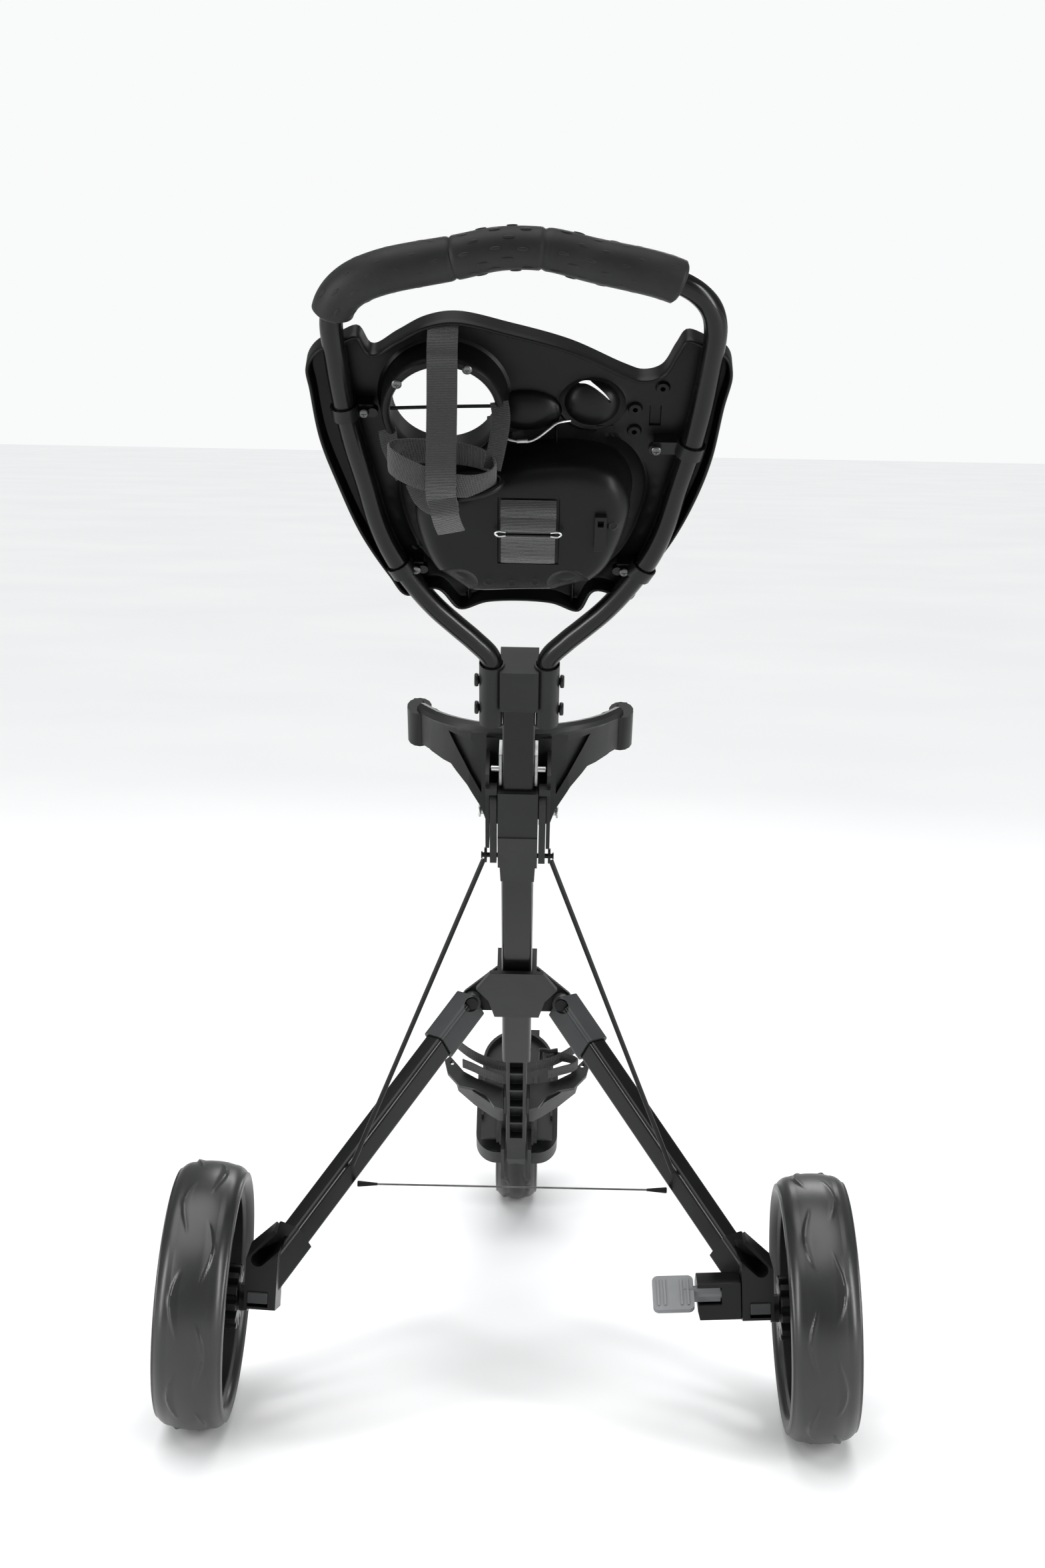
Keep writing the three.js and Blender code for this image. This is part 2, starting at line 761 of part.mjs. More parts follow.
// Two ears on the knee casting carry the hinge pin of the upper frame.
function hingeEar(side) {
  const shape = new THREE.Shape();
  shape.moveTo(tubeDepth - 2, hinge.z + knuckleRadius);
  shape.lineTo(tubeDepth - 2, hinge.z - knuckleRadius);
  shape.absarc(hinge.y, hinge.z, knuckleRadius, -Math.PI / 2, Math.PI / 2);
  return sidePlate(shape, ...ordered(side * 8, side * 16.4), 6);
}
const kneeBendDeg = upperSlopeDeg - lowerSlopeDeg;
const fromLowerFrame = (body) => body.rotate([kneeBendDeg, 0, 0]);
function kneeCasting() {
  const half = tubeWidth / 2 + kneeWall;
  const around = block([-half, half], [-kneeWall, tubeDepth + 1.6], [kneeWrapEnd, 5]);
  const spare = roundedOutline(tubeWidth + 2 * gap, tubeDepth + 2 * gap, tubeCorner);
  const tubeSpace = prism(spare, -80, lowerTubeTop + gap).translate([0, tubeDepth / 2, 0]);
  return cut(
    join(kneeCollar(), fromLowerFrame(around), hingeEar(1), hingeEar(-1)),
    fromLowerFrame(tubeSpace),
    crossBar(-60, 60, hinge.y, hinge.z, hingePinRadius + gap, 16),
  );
}
function hingePin() {
  const end = housingHalf + 5.7;
  return join(
    crossBar(-end - 1, end + 1, hinge.y, hinge.z, hingePinRadius, 12),
    crossBar(end, end + 2.2, hinge.y, hinge.z, 6, 14),
    crossBar(-end - 2.2, -end, hinge.y, hinge.z, 6, 14),
  );
}

const lockPin = { y: 15, z: 77 };
const lockPinRadius = 3;
const sidePlateInner = upperTubeWidth / 2 + gap;
function zincPlate(side) {
  const x = ordered(side * sidePlateInner, side * (sidePlateInner + 3));
  return cut(
    block(x, [4, 26], [upperTubeBottom + 3, upperTubeBottom + 42]),
    crossBar(-60, 60, lockPin.y, lockPin.z, lockPinRadius + gap, 14),
  );
}
const lockPinBody = () => crossBar(-26, 26, lockPin.y, lockPin.z, lockPinRadius, 14);

upperFrame.add(
  piece("knee_casting", kneeCasting(), plastic),
  piece("hinge_pin", hingePin(), zinc),
  piece(
    "upper_tube",
    cut(
      upperTube(),
      ...boltHeights.map(boltHole),
      crossBar(-60, 60, lockPin.y, lockPin.z, lockPinRadius + gap, 14),
    ),
    blackTube,
  ),
  piece("side_plate_left", zincPlate(-1), zinc),
  piece("side_plate_right", zincPlate(1), zinc),
  piece("lock_pin", lockPinBody(), zinc),
  piece("handle_bracket", handleBracket(), plastic),
  boltNode("bracket_bolt_lower", boltHeights[0]),
  boltNode("bracket_bolt_upper", boltHeights[1]),
  piece("handle_tube", handleTube(), blackTube),
  piece("grip", grip(), foam),
  piece("clamp_upper_left", handleClamp(-1, 480, 16), plastic),
  piece("clamp_upper_right", handleClamp(1, 448, 24), plastic),
  piece("clamp_lower_left", handleClamp(-1, 318, 12), plastic),
  piece("clamp_lower_right", handleClamp(1, 320, 14), plastic),
  piece("console", consoleBody(), consolePlastic),
  piece("console_lid", consoleLid(), consolePlastic),
  piece("lid_pin", lidPin(), zinc),
  piece("cup_strap", cupStrap(), webbing),
  piece("cup_band", cupBand(), webbing),
  piece("bin_patch", binPatch(), webbing),
  piece("bin_latch", binLatch(), plastic),
  piece("upper_cradle", upperCradle(), plastic),
);

// ---- Lower cradle, bag rest and front fork ----
const boomSpace = (slack) => {
  const half = boomTopWidth / 2 + slack;
  return block([-half, half], [-3, tubeDepth], [boomEnd - 30, boomTop]);
};

// A wing-shaped plate across the boom, notched round it from the front, over a tapering body.
function lowerCradle() {
  const top = lowerCradleAt + lowerCradleThickness / 2;
  const bottom = top - lowerCradleThickness;
  const wing = [
    [0, 32], [26, 32], [47, 37], [63, 46], [lowerCradleReach - 4, 66], [lowerCradleReach + 2, 60],
    [lowerCradleReach - 2, 44], [68, 28], [50, 24], [36, 16], [26, 2], [14, -2], [0, -3],
  ];
  const body = [
    [0, 34], [24, 34], [46, 38], [64, 48], [74, 54], [70, 40], [50, 22], [30, 8], [20, 2], [0, 2],
  ];
  const bodyDepth = 34;
  const plate = prism(outline(mirrored(wing)), bottom, top);
  const under = prism(outline(mirrored(body)), bottom - bodyDepth, bottom + 1);
  const tip = (side) =>
    crossHole(side * (lowerCradleReach - 7), 57, bottom - bodyDepth - 2, top + 2, 2.6);
  const hollow = prism(
    outline([[30, 16], [48, 29], [64, 42], [60, 44], [44, 34], [30, 28]]),
    bottom - bodyDepth - 1,
    bottom - 3,
  );
  const openings = [boomSpace(gap + 1), tip(1), tip(-1), hollow, hollow.mirror([1, 0, 0])];
  return cut(join(plate, under), ...openings);
}
const crossHole = (x, y, z0, z1, radius) => cylinder(at(x, y, z0), at(x, y, z1), radius, radius, 12);

// A bag strap laid in the lower cradle from tip to tip.
function lowerStrap() {
  const radius = lowerBagRadius - 6;
  const centre = 44 + radius;
  const sector = new THREE.Shape();
  const reach = rad(47);
  sector.absarc(0, centre, radius, -Math.PI / 2 - reach, -Math.PI / 2 + reach);
  sector.absarc(0, centre, radius - strapThickness, -Math.PI / 2 + reach, -Math.PI / 2 - reach, true);
  const z0 = lowerCradleAt + lowerCradleThickness / 2 + 3;
  return prism(sector, z0, z0 + strapWidth, 12);
}

const restTop = frontAxle.z + frontWheelRadius + 17;
const restThickness = 5;
const forkInner = frontTyreWidth / 2 + 7;
const forkOuter = forkInner + 17;
const forkTop = frontAxle.z + 111;
const forkBottom = frontAxle.z + 79;

// The bag rest: a round-topped plate square to the boom, with a stiffening skirt and two ribs.
function bagRest() {
  const shape = new THREE.Shape();
  const half = 44;
  shape.moveTo(-half, boomDepth + 12);
  shape.lineTo(half, boomDepth + 12);
  shape.lineTo(half, 178 - half);
  shape.absarc(0, 178 - half, half, 0, Math.PI);
  const plate = prism(shape, restTop, restTop + restThickness, 10);
  const lip = cut(
    prism(shape, restTop, restTop + 16, 10),
    prism(inset(shape, 3.4), restTop - 1, restTop + 17, 10),
    block([-100, 100], [0, 60], [restTop - 1, restTop + 40]),
  );
  const tab = block([14, 26], [160, 184], [restTop, restTop + restThickness]);
  const rib = (side) =>
    block(ordered(side * 20, side * 25), [boomDepth + 8, 120], [restTop, restTop + 14]);
  const foot = block([-21, 21], [boomDepth + 5.4, boomDepth + 24], [restTop, restTop + 90]);
  return join(plate, lip, tab, rib(1), rib(-1), foot);
}

// The fork: a U round the wheel's back with an arm down each side to the axle.
function frontFork() {
  const bottomY = 24;
  const corner = 26;
  const u = (half, low, radius) => {
    const shape = new THREE.Shape();
    const highY = frontAxle.y + 12;
    shape.moveTo(half, highY);
    shape.lineTo(-half, highY);
    shape.absarc(-half + radius, low + radius, radius, Math.PI, 1.5 * Math.PI);
    shape.absarc(half - radius, low + radius, radius, 1.5 * Math.PI, 2 * Math.PI);
    return shape;
  };
  const ring = prism(u(forkOuter, bottomY, corner), forkBottom, forkTop, 8);
  const inside = prism(u(forkInner, bottomY + 20, 16), forkBottom - 1, forkTop + 1, 8);
  const openTop = block([-forkInner, forkInner], [60, 300], [forkBottom - 1, forkTop + 1]);
  const arm = (side) => {
    const x = ordered(side * forkInner, side * (forkInner + 9));
    const shape = new THREE.Shape();
    shape.absarc(frontAxle.y, frontAxle.z, 15, Math.PI, 2 * Math.PI);
    shape.lineTo(frontAxle.y + 12, forkBottom + 4);
    shape.lineTo(frontAxle.y - 45, forkBottom + 4);
    return sidePlate(shape, ...x, 6);
  };
  const clampHalf = boomTopWidth / 2 + 4.5;
  const clamp = block([-clampHalf, clampHalf], [1, boomDepth + 14], [forkBottom + 4, forkTop + 60]);
  const boomGap = block(
    [-boomTopWidth / 2 - gap, boomTopWidth / 2 + gap],
    [-10, boomDepth + 4.6 + gap],
    [forkBottom - 10, forkTop + 90],
  );
  const restGap = block([-60, 60], [boomDepth + 5, 400], [restTop - gap, restTop + 120]);
  const wheelSpace = crossBar(
    -forkInner + 1,
    forkInner - 1,
    frontAxle.y,
    frontAxle.z,
    frontWheelRadius + 5,
    30,
  );
  return cut(
    join(cut(ring, inside, openTop), arm(1), arm(-1), clamp),
    boomGap,
    restGap,
    wheelSpace,
    crossBar(-90, 90, frontAxle.y, frontAxle.z, 5 + gap, 16),
  );
}
function frontAxleBody() {
  const end = forkInner + 9 + gap;
  return join(
    crossBar(-end, end, frontAxle.y, frontAxle.z, 5, 16),
    crossBar(end - 0.2, end + 4, frontAxle.y, frontAxle.z, 9, 16),
    crossBar(-end - 4, -end + 0.2, frontAxle.y, frontAxle.z, 9, 16),
  );
}
lowerFrame.add(
  piece("lower_cradle", lowerCradle(), plastic),
  piece("lower_strap", lowerStrap(), webbing),
  piece("bag_rest", bagRest(), plastic),
  piece("front_fork", frontFork(), plastic),
  piece("front_axle", frontAxleBody(), zinc),
);

// ---- Leg hub ----
const pivotRadius = 3.5;
const bossRadius = 9.5;
const bossBack = legTop.y - 14;
const bossFront = legTop.y + 3.4;
const toCart = (body) => body.rotate([90 - lowerSlopeDeg, 0, 0]).translate([0, kneeY, kneeZ]);

function legHub() {
  const at0 = inTubeFrame(lowerSlopeDeg, legTop.y, legTop.z);
  const plateBack = -9;
  const plate = slab(
    outline(mirrored([[28, at0.z + 86], [43, at0.z + 50], [30, at0.z + 24], [24, at0.z - 12]])),
    plateBack,
    plateBack + 4,
  );
  const clampHalf = tubeWidth / 2 + 5;
  const clamp = block([-clampHalf, clampHalf], [plateBack, tubeDepth + 5], [at0.z - 12, at0.z + 60]);
  const front = bossFront + gap;
  const wing = new THREE.Shape();
  wing.absarc(legTop.x, legTop.z, 12, -Math.PI / 2, Math.PI / 4);
  wing.lineTo(22, legTop.z + 36);
  wing.lineTo(-22, legTop.z + 36);
  wing.absarc(-legTop.x, legTop.z, 12, 0.75 * Math.PI, 1.5 * Math.PI);
  const wings = slab(wing, front, front + 9, 6);
  const pin = (side) =>
    join(
      cylinder(
        at(side * legTop.x, bossBack - 2, legTop.z),
        at(side * legTop.x, front + 1, legTop.z),
        pivotRadius,
        pivotRadius,
        14,
      ),
      cylinder(
        at(side * legTop.x, bossBack - 4, legTop.z),
        at(side * legTop.x, bossBack - 0.6, legTop.z),
        6.5,
        6.5,
        16,
      ),
    );
  const shape = roundedOutline(tubeWidth + 2 * gap, tubeDepth + 2 * gap, tubeCorner);
  const tubeSpace = prism(shape, -lowerTubeLength - 20, 0).translate([0, tubeDepth / 2, 0]);
  return cut(
    join(toCart(join(plate, clamp)), wings, pin(1), pin(-1)),
    toCart(tubeSpace),
  );
}
cart.add(piece("leg_hub", legHub(), plastic));

// ---- Legs ----
const legLine = new THREE.Vector3().subVectors(legEnd, legTop);
const legLength = legLine.length();
const legWay = legLine.clone().normalize();
const legMatrix = new THREE.Matrix4();
{
  const backward = at(0, -1, 0);
  const side = new THREE.Vector3().crossVectors(legWay, backward).normalize();
  const face = new THREE.Vector3().crossVectors(side, legWay).normalize();
  legMatrix.makeBasis(side, face.negate(), legWay.clone());
  const twist = new THREE.Matrix4().makeRotationAxis(legWay, rad(legTwistDeg));
  legMatrix.premultiply(twist).setPosition(legTop);
}
function alongLeg(width, depth, corner, from, to) {
  const shape = roundedOutline(width, depth, corner);
  const settings = { depth: to - from, bevelEnabled: false, curveSegments: 3 };
  const geometry = new THREE.ExtrudeGeometry(shape, settings);
  geometry.translate(0, 0, from);
  geometry.applyMatrix4(legMatrix);
  return solid(geometry);
}
const legStart = 16;
const legStop = legLength - 14;
const capLength = 50;
const socketLength = 46;
const legTube = () => alongLeg(legWide, legDeep, 5, legStart, legStop);
const legSpace = (from, to) => alongLeg(legWide + 2 * gap, legDeep + 2 * gap, 5, from, to);

function legCap() {
  const sleeve = alongLeg(legWide + 5, legDeep + 5, 5, 4, capLength + legStart);
  const boss = cylinder(
    at(legTop.x, bossBack, legTop.z),
    at(legTop.x, bossFront, legTop.z),
    bossRadius,
    bossRadius,
    14,
  );
  const hole = cylinder(
    at(legTop.x, bossBack - 30, legTop.z),
    at(legTop.x, bossFront + 10, legTop.z),
    pivotRadius + gap,
    pivotRadius + gap,
    10,
  );
  const front = block([-20, 200], [bossFront, bossFront + 90], [legTop.z - 90, legTop.z + 90]);
  const headSpace = cylinder(
    at(legTop.x, bossBack - 60, legTop.z),
    at(legTop.x, bossBack, legTop.z),
    8,
    8,
    16,
  );
  const tubeSide = block([-60, tubeWidth / 2 + 7], [0, 400], [0, 700]);
  return cut(
    join(sleeve, boss),
    legSpace(legStart - gap, legLength),
    hole,
    front,
    headSpace,
    tubeSide,
  );
}

// ---- Axle brackets, told in the wheel's frame, which has X along its axle ----
const wheelCentre = at(track / 2, 0, rearWheelRadius);
const bracketFace = -42.5;
const bracketInner = -74;
const bracketBack = -27;
const bracketFront = 33;
const bracketFloor = [-2, -20]; // height of the sloping underside at the back and at the front
const spacerEnd = -36.2;
const pinAngle = rad(345);
const brakeRadius = 27;
const pinY = brakeRadius * Math.cos(pinAngle);
const pinZ = brakeRadius * Math.sin(pinAngle);
const brakePinRadius = 2.8;
const pinTail = -94;
const buttonX = [-66, -46];
const buttonZ = [5, 16];
const buttonTravel = 4;

const camberTurn = (body) =>
  body.rotate([0, -camberDeg, 0]).translate([wheelCentre.x, wheelCentre.y, wheelCentre.z]);
const pinHole = (x0, x1) => crossBar(x0, x1, pinY, pinZ, brakePinRadius + gap, 14);

function axleBracket(withBrake) {
  const side = outline([
    [bracketBack, bracketFloor[0]], [bracketBack, 52], [-20, 80], [6, 80], [bracketFront, 30],
    [bracketFront, bracketFloor[1]],
  ]);
  const face = outline([
    [bracketInner, -30], [bracketFace, -30], [bracketFace, 50], [-68, 79], [bracketInner - 4, 68],
    [bracketInner, 57],
  ]);
  const foot = sidePlate(side, bracketInner - 5, bracketFace).intersect(slab(face, -40, 40));
  const axle = crossBar(bracketFace - 20, 30, 0, 0, axleRadius, 14);
  const spacer = crossBar(bracketFace - 2, spacerEnd, 0, 0, 14, 18);
  const pocket = block(
    [buttonX[0] - gap, buttonX[1] + gap],
    [bracketBack - 4, bracketBack + 4 + buttonTravel + 8],
    [buttonZ[0] - 4.5, buttonZ[1] + gap],
  );
  // a slanting window in the back face shows the end of the leg
  const windowShape = new THREE.Shape();
  windowShape.absarc(-54.5, 49.5, 7, -0.75 * Math.PI, 0.25 * Math.PI);
  windowShape.lineTo(-54.5 - 33, 49.5 + 43);
  windowShape.lineTo(-54.5 - 43, 49.5 + 33);
  const legWindow = slab(windowShape, -60, 12, 6);
  const socket = alongLeg(legWide + 7, legDeep + 7, 5, legStop - socketLength, legLength - 4);
  let turnedFoot = camberTurn(cut(join(foot, axle, spacer), pocket, legWindow));
  if (withBrake) turnedFoot = turnedFoot.subtract(camberTurn(pinHole(-90, bracketFace + 8)));
  const beyond = camberTurn(block([bracketFace, 90], [-90, 90], [-90, 90]));
  const cleared = join(legSpace(0, legStop + gap), camberTurn(pocket));
  return join(cut(socket, beyond), turnedFoot).subtract(cleared);
}
const buttonStart = bracketBack - 2.5;
const releaseButton = () => camberTurn(block(buttonX, [buttonStart, buttonStart + 10], buttonZ));

const brakePin = () =>
  camberTurn(crossBar(pinTail, bracketFace + 4, pinY, pinZ, brakePinRadius, 14));

// The housing beside the bracket carries the pedal's shaft; the pedal's neck comes out of its mouth.
const housingX = [-118, bracketInner - 0.6];
const pedalAxis = { y: -16, z: 23.5 };
const shaftRadius = 5;
const mouthEnd = -94;
function brakeHousing() {
  const side = outline([[-25, 36.5], [-25, -1], [31, -18], [31, 20], [8, 36.5]]);
  const face = outline([
    [housingX[0], 8], [housingX[0] + 8, -30], [housingX[1], -30], [housingX[1], 40], [housingX[0], 40],
  ]);
  const shell = sidePlate(side, ...housingX).intersect(slab(face, -60, 60));
  const bore = crossBar(
    housingX[0] - 1,
    housingX[1] + 1,
    pedalAxis.y,
    pedalAxis.z,
    shaftRadius + gap,
    16,
  );
  const mouth = block(
    [housingX[0] - 1, mouthEnd],
    [-60, pedalAxis.y + 9],
    [pedalAxis.z - 8.8, pedalAxis.z + 8.8],
  );
  const socketSpace = alongLeg(
    legWide + 8,
    legDeep + 8,
    5,
    legStop - socketLength - 1,
    legLength - 3,
  );
  const cleared = cut(shell, bore, mouth, pinHole(pinTail - 4, housingX[1] + 4));
  return cut(camberTurn(cleared), socketSpace);
}
function brakePedal() {
  const plateRight = housingX[0] - 3.5;
  const shape = roundedOutline(pedalWidth, pedalLength, 6);
  const plate = slab(shape, -3, 3, 4).translate([plateRight - pedalWidth / 2, 0, -pedalLength / 2]);
  const ribs = pedalRibs.map((x) => {
    const middle = plateRight - pedalWidth + x;
    return block([middle - 1, middle + 1], [-4.4, -2], [-pedalLength + 5, -5]);
  });
  const tilted = join(plate, ...ribs).rotate([-pedalTiltDeg, 0, 0]).translate([0, -4, 37]);
  const shaft = crossBar(plateRight - 8, housingX[1] - 3, pedalAxis.y, pedalAxis.z, shaftRadius, 16);
  const neck = block(
    [plateRight - 10, mouthEnd - 1],
    [pedalAxis.y - 4, pedalAxis.y + 4],
    [pedalAxis.z - 7, pedalAxis.z + 7],
  );
  return camberTurn(join(tilted, shaft, neck));
}

const rearSegments = 40;
const frontSegments = 34;
const rearHub = [-22, 24]; // inboard and outboard ends of the hub
const hubCapFace = 31;

// ---- Wheels, each drawn about X with its outboard side towards +X ----
function tyre(radius, width, rimRadius, segments) {
  const half = width / 2;
  const shoulder = 15;
  const crown = 2.5;
  const profile = [];
  for (let i = 0; i <= 3; i++) {
    const angle = (Math.PI / 2) * (i / 3);
    profile.push([
      radius - crown - shoulder * (1 - Math.sin(angle)),
      -half + shoulder * (1 - Math.cos(angle)),
    ]);
  }
  profile.push([radius - 0.4, -half / 3], [radius, 0]);
  const outer = [...profile, ...profile.slice(0, -1).map(([r, x]) => [r, -x]).reverse()];
  const seat = rimRadius + gap;
  return turned([[seat, -half + 6], ...outer, [seat, half - 6], [seat, -half + 6]], segments);
}

function wheelRim(rimRadius, width, hubFrom, hubTo, boreRadius, segments, windows) {
  const half = width / 2;
  const inner = rimRadius - 6;
  const hub = 19;
  const profile = [
    [boreRadius, hubFrom], [hub, hubFrom], [hub, -1], [inner, 4], [inner, -half + 10],
    [rimRadius, -half + 7], [rimRadius, half - 7], [inner, half - 10], [inner, 13], [hub, 8],
    [hub, hubTo], [boreRadius, hubTo], [boreRadius, hubFrom],
  ];
  const body = turned(profile, segments);
  const share = (2 * Math.PI) / windows;
  const open = share * 0.66;
  const cuts = [];
  for (let i = 0; i < windows; i++) {
    const from = i * share;
    const shape = new THREE.Shape();
    shape.absarc(0, 0, inner - 9, from, from + open);
    shape.absarc(0, 0, hub + 14, from + open - 0.12, from + 0.12, true);
    cuts.push(sidePlate(shape, -40, 40, 2));
  }
  return cut(body, ...cuts);
}

// The toothed ring that the brake pin locks into.
function brakeRing() {
  const from = -35.5;
  const to = rearHub[0] - gap;
  const bore = axleRadius + spinClearance;
  const core = turned([[bore, from], [22, from], [22, to], [bore, to], [bore, from]], 24);
  const teeth = [];
  const count = 12;
  for (let i = 0; i < count; i++) {
    const tooth = block([from, to], [20, 32], [-3.6, 3.6]);
    teeth.push(tooth.rotate([(360 / count) * i, 0, 0]));
  }
  return join(core, ...teeth);
}

function hubCap() {
  const seat = rearHub[1] + gap;
  const floor = hubCapFace - 0.4;
  const profile = [
    [0, hubCapFace], [17, hubCapFace], [19, hubCapFace - 2], [19, seat], [7, seat], [7, floor],
    [0, floor],
  ];
  return turned(profile, 28);
}
function rearWheel(side) {
  const group = new THREE.Group();
  group.position.copy(wheelCentre);
  group.rotation.y = rad(-camberDeg);
  const bore = axleRadius + spinClearance;
  group.add(
    piece(
      `tyre_${side}`,
      tyre(rearWheelRadius, rearTyreWidth, rearRimRadius, rearSegments),
      rubber,
    ),
    piece(
      `rim_${side}`,
      wheelRim(rearRimRadius, rearTyreWidth, ...rearHub, bore, rearSegments, 6),
      plastic,
    ),
    piece(`brake_ring_${side}`, brakeRing(), plastic),
    piece(`hub_cap_${side}`, hubCap(), greyPlastic),
  );
  return group;
}

function rearSide(side, withBrake) {
  const half = new THREE.Group();
  half.add(
    piece(`leg_${side}`, legTube(), blackTube),
    piece(`leg_cap_${side}`, legCap(), greyPlastic),
    piece(`axle_bracket_${side}`, axleBracket(withBrake), plastic),
    piece(`release_button_${side}`, releaseButton(), greyPlastic),
    rearWheel(side),
  );
  return half;
}
const rightSide = rearSide("right", true);
rightSide.add(
  piece("brake_housing", brakeHousing(), plastic),
  piece("brake_pedal", brakePedal(), greyPlastic),
  piece("brake_pin", brakePin(), zinc),
);
const leftSide = rearSide("left", false);
leftSide.scale.x = -1;
cart.add(rightSide, leftSide);

const frontWheel = new THREE.Group();
frontWheel.position.set(0, wheelbase, frontWheelRadius);
frontWheel.add(
  piece(
    "tyre_front",
    tyre(frontWheelRadius, frontTyreWidth, frontRimRadius, frontSegments),
    rubber,
  ),
  piece(
    "rim_front",
    wheelRim(
      frontRimRadius,
      frontTyreWidth,
      -forkInner + 2,
      forkInner - 2,
      5 + spinClearance,
      frontSegments,
      6,
    ),
    plastic,
  ),
);
cart.add(frontWheel);

// ---- Rods and the spread cable ----
const yokePoint = new THREE.Vector3(yokeRodX, 2, yokeAlong)
  .applyAxisAngle(at(1, 0, 0), rad(90 - lowerSlopeDeg))
  .add(at(0, kneeY, kneeZ));

function pullRod(side) {
  const top = at(side * yokePoint.x, yokePoint.y, yokePoint.z);
  const bottom = at(side * rodEnd.x, rodEnd.y, rodEnd.z);
  const way = new THREE.Vector3().subVectors(bottom, top).normalize();
  const bar = cylinder(top.clone().addScaledVector(way, 5.4), bottom, rodRadius, rodRadius, 10);
  const eyeHalf = 1.3;
  const eye = cut(
    crossBar(top.x - eyeHalf, top.x + eyeHalf, top.y, top.z, 7.6, 18),
    crossBar(top.x - 10, top.x + 10, top.y, top.z, 4.2, 14),
  );
  return join(bar, eye);
}

function spreadCable() {
  const reach = rodEnd.x - 4.8;
  const y = rodEnd.y + 14.4;
  const z = rodEnd.z - 23.9;
  const ferrule = (side) =>
    cylinder(at(side * (reach - 20), y, z), at(side * reach, y, z), 1.4, 3.2, 10);
  return join(crossBar(-reach + 1, reach - 1, y, z, 1, 8), ferrule(1), ferrule(-1));
}
cart.add(
  piece("rod_left", pullRod(-1), blackTube),
  piece("rod_right", pullRod(1), blackTube),
  piece("spread_cable", spreadCable(), zinc),
);

// ---- Stand the cart on its origin: middle of the footprint, on the ground ----
const base = new THREE.Group();
base.add(cart);
base.updateMatrixWorld(true);
const bounds = new THREE.Box3().setFromObject(cart, true);
const centre = bounds.getCenter(new THREE.Vector3());
cart.position.set(-centre.x, -centre.y, -bounds.min.z);

export default base;
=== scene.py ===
"""Looks of the folding golf push cart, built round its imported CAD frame. Metres, +Z up."""
import math
import random

import bmesh
import bpy
import numpy as np
from mathutils import Matrix, Vector
from mathutils.geometry import delaunay_2d_cdt


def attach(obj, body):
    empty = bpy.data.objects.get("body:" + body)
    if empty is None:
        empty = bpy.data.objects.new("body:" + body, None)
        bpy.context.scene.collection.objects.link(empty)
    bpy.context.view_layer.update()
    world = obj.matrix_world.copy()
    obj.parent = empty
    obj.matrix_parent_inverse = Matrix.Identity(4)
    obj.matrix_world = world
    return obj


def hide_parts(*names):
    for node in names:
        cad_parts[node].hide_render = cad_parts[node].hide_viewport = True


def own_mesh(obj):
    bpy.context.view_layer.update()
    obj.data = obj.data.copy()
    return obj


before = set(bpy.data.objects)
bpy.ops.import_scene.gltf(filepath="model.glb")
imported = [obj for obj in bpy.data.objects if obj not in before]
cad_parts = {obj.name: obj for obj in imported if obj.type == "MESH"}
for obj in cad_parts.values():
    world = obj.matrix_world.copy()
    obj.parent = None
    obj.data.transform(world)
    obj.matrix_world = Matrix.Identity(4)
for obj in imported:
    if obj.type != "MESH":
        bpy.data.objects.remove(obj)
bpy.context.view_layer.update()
random.seed(7)

# ---- Frames of the two tubes and of the wheels, in the CAD's own millimetres ----
MM = 0.001
SHIFT_Y = -220.317
SHIFT_Z = 0.017
KNEE = (-27.5 + SHIFT_Y, 611.4 + SHIFT_Z)


def tube_point(turn_deg, x, y, z):
    c, s = math.cos(math.radians(turn_deg)), math.sin(math.radians(turn_deg))
    return Vector((x, KNEE[0] + y * c - z * s, KNEE[1] + y * s + z * c)) * MM


def upper(x, y, z):
    return tube_point(33.5, x, y, z)


def lower(x, y, z):
    return tube_point(48, x, y, z)


def upper_way(x, y, z):
    return (upper(x, y, z) - upper(0, 0, 0)).normalized()


def lower_way(x, y, z):
    return (lower(x, y, z) - lower(0, 0, 0)).normalized()


CAMBER = math.radians(3)
REAR_WHEEL = (306.5, SHIFT_Y, 135.017)


def at_wheel(side, x, y, z):
    """A point told in a rear wheel's frame. side is 1 on the right and -1 on the left."""
    out = REAR_WHEEL[0] + x * math.cos(CAMBER) - z * math.sin(CAMBER)
    up = REAR_WHEEL[2] + x * math.sin(CAMBER) + z * math.cos(CAMBER)
    return Vector((side * out, REAR_WHEEL[1] + y, up)) * MM


def wheel_way(side, x, y, z):
    return (at_wheel(side, x, y, z) - at_wheel(side, 0, 0, 0)).normalized()


# ---- Camera ----
def make_camera():
    yaw, pitch, roll = math.radians(0.461), math.radians(9.0), math.radians(1.083)
    turn = Matrix.Rotation(yaw, 3, "Z")
    place = turn @ Vector((3.65, -2298, 1024.4)) + Vector((0, SHIFT_Y, SHIFT_Z))
    right = turn @ Vector((1, 0, 0))
    ahead = turn @ Vector((0, math.cos(pitch), -math.sin(pitch)))
    up = right.cross(ahead)
    side = math.cos(roll) * right + math.sin(roll) * up
    top = -math.sin(roll) * right + math.cos(roll) * up
    data = bpy.data.cameras.new("camera")
    data.lens = 55.04
    data.sensor_width = 36
    data.clip_end = 50
    camera = bpy.data.objects.new("camera", data)
    bpy.context.scene.collection.objects.link(camera)
    axes = Matrix((side, top, -ahead)).transposed()
    camera.matrix_world = Matrix.Translation(place * MM) @ axes.to_4x4()
    bpy.context.scene.camera = camera


make_camera()


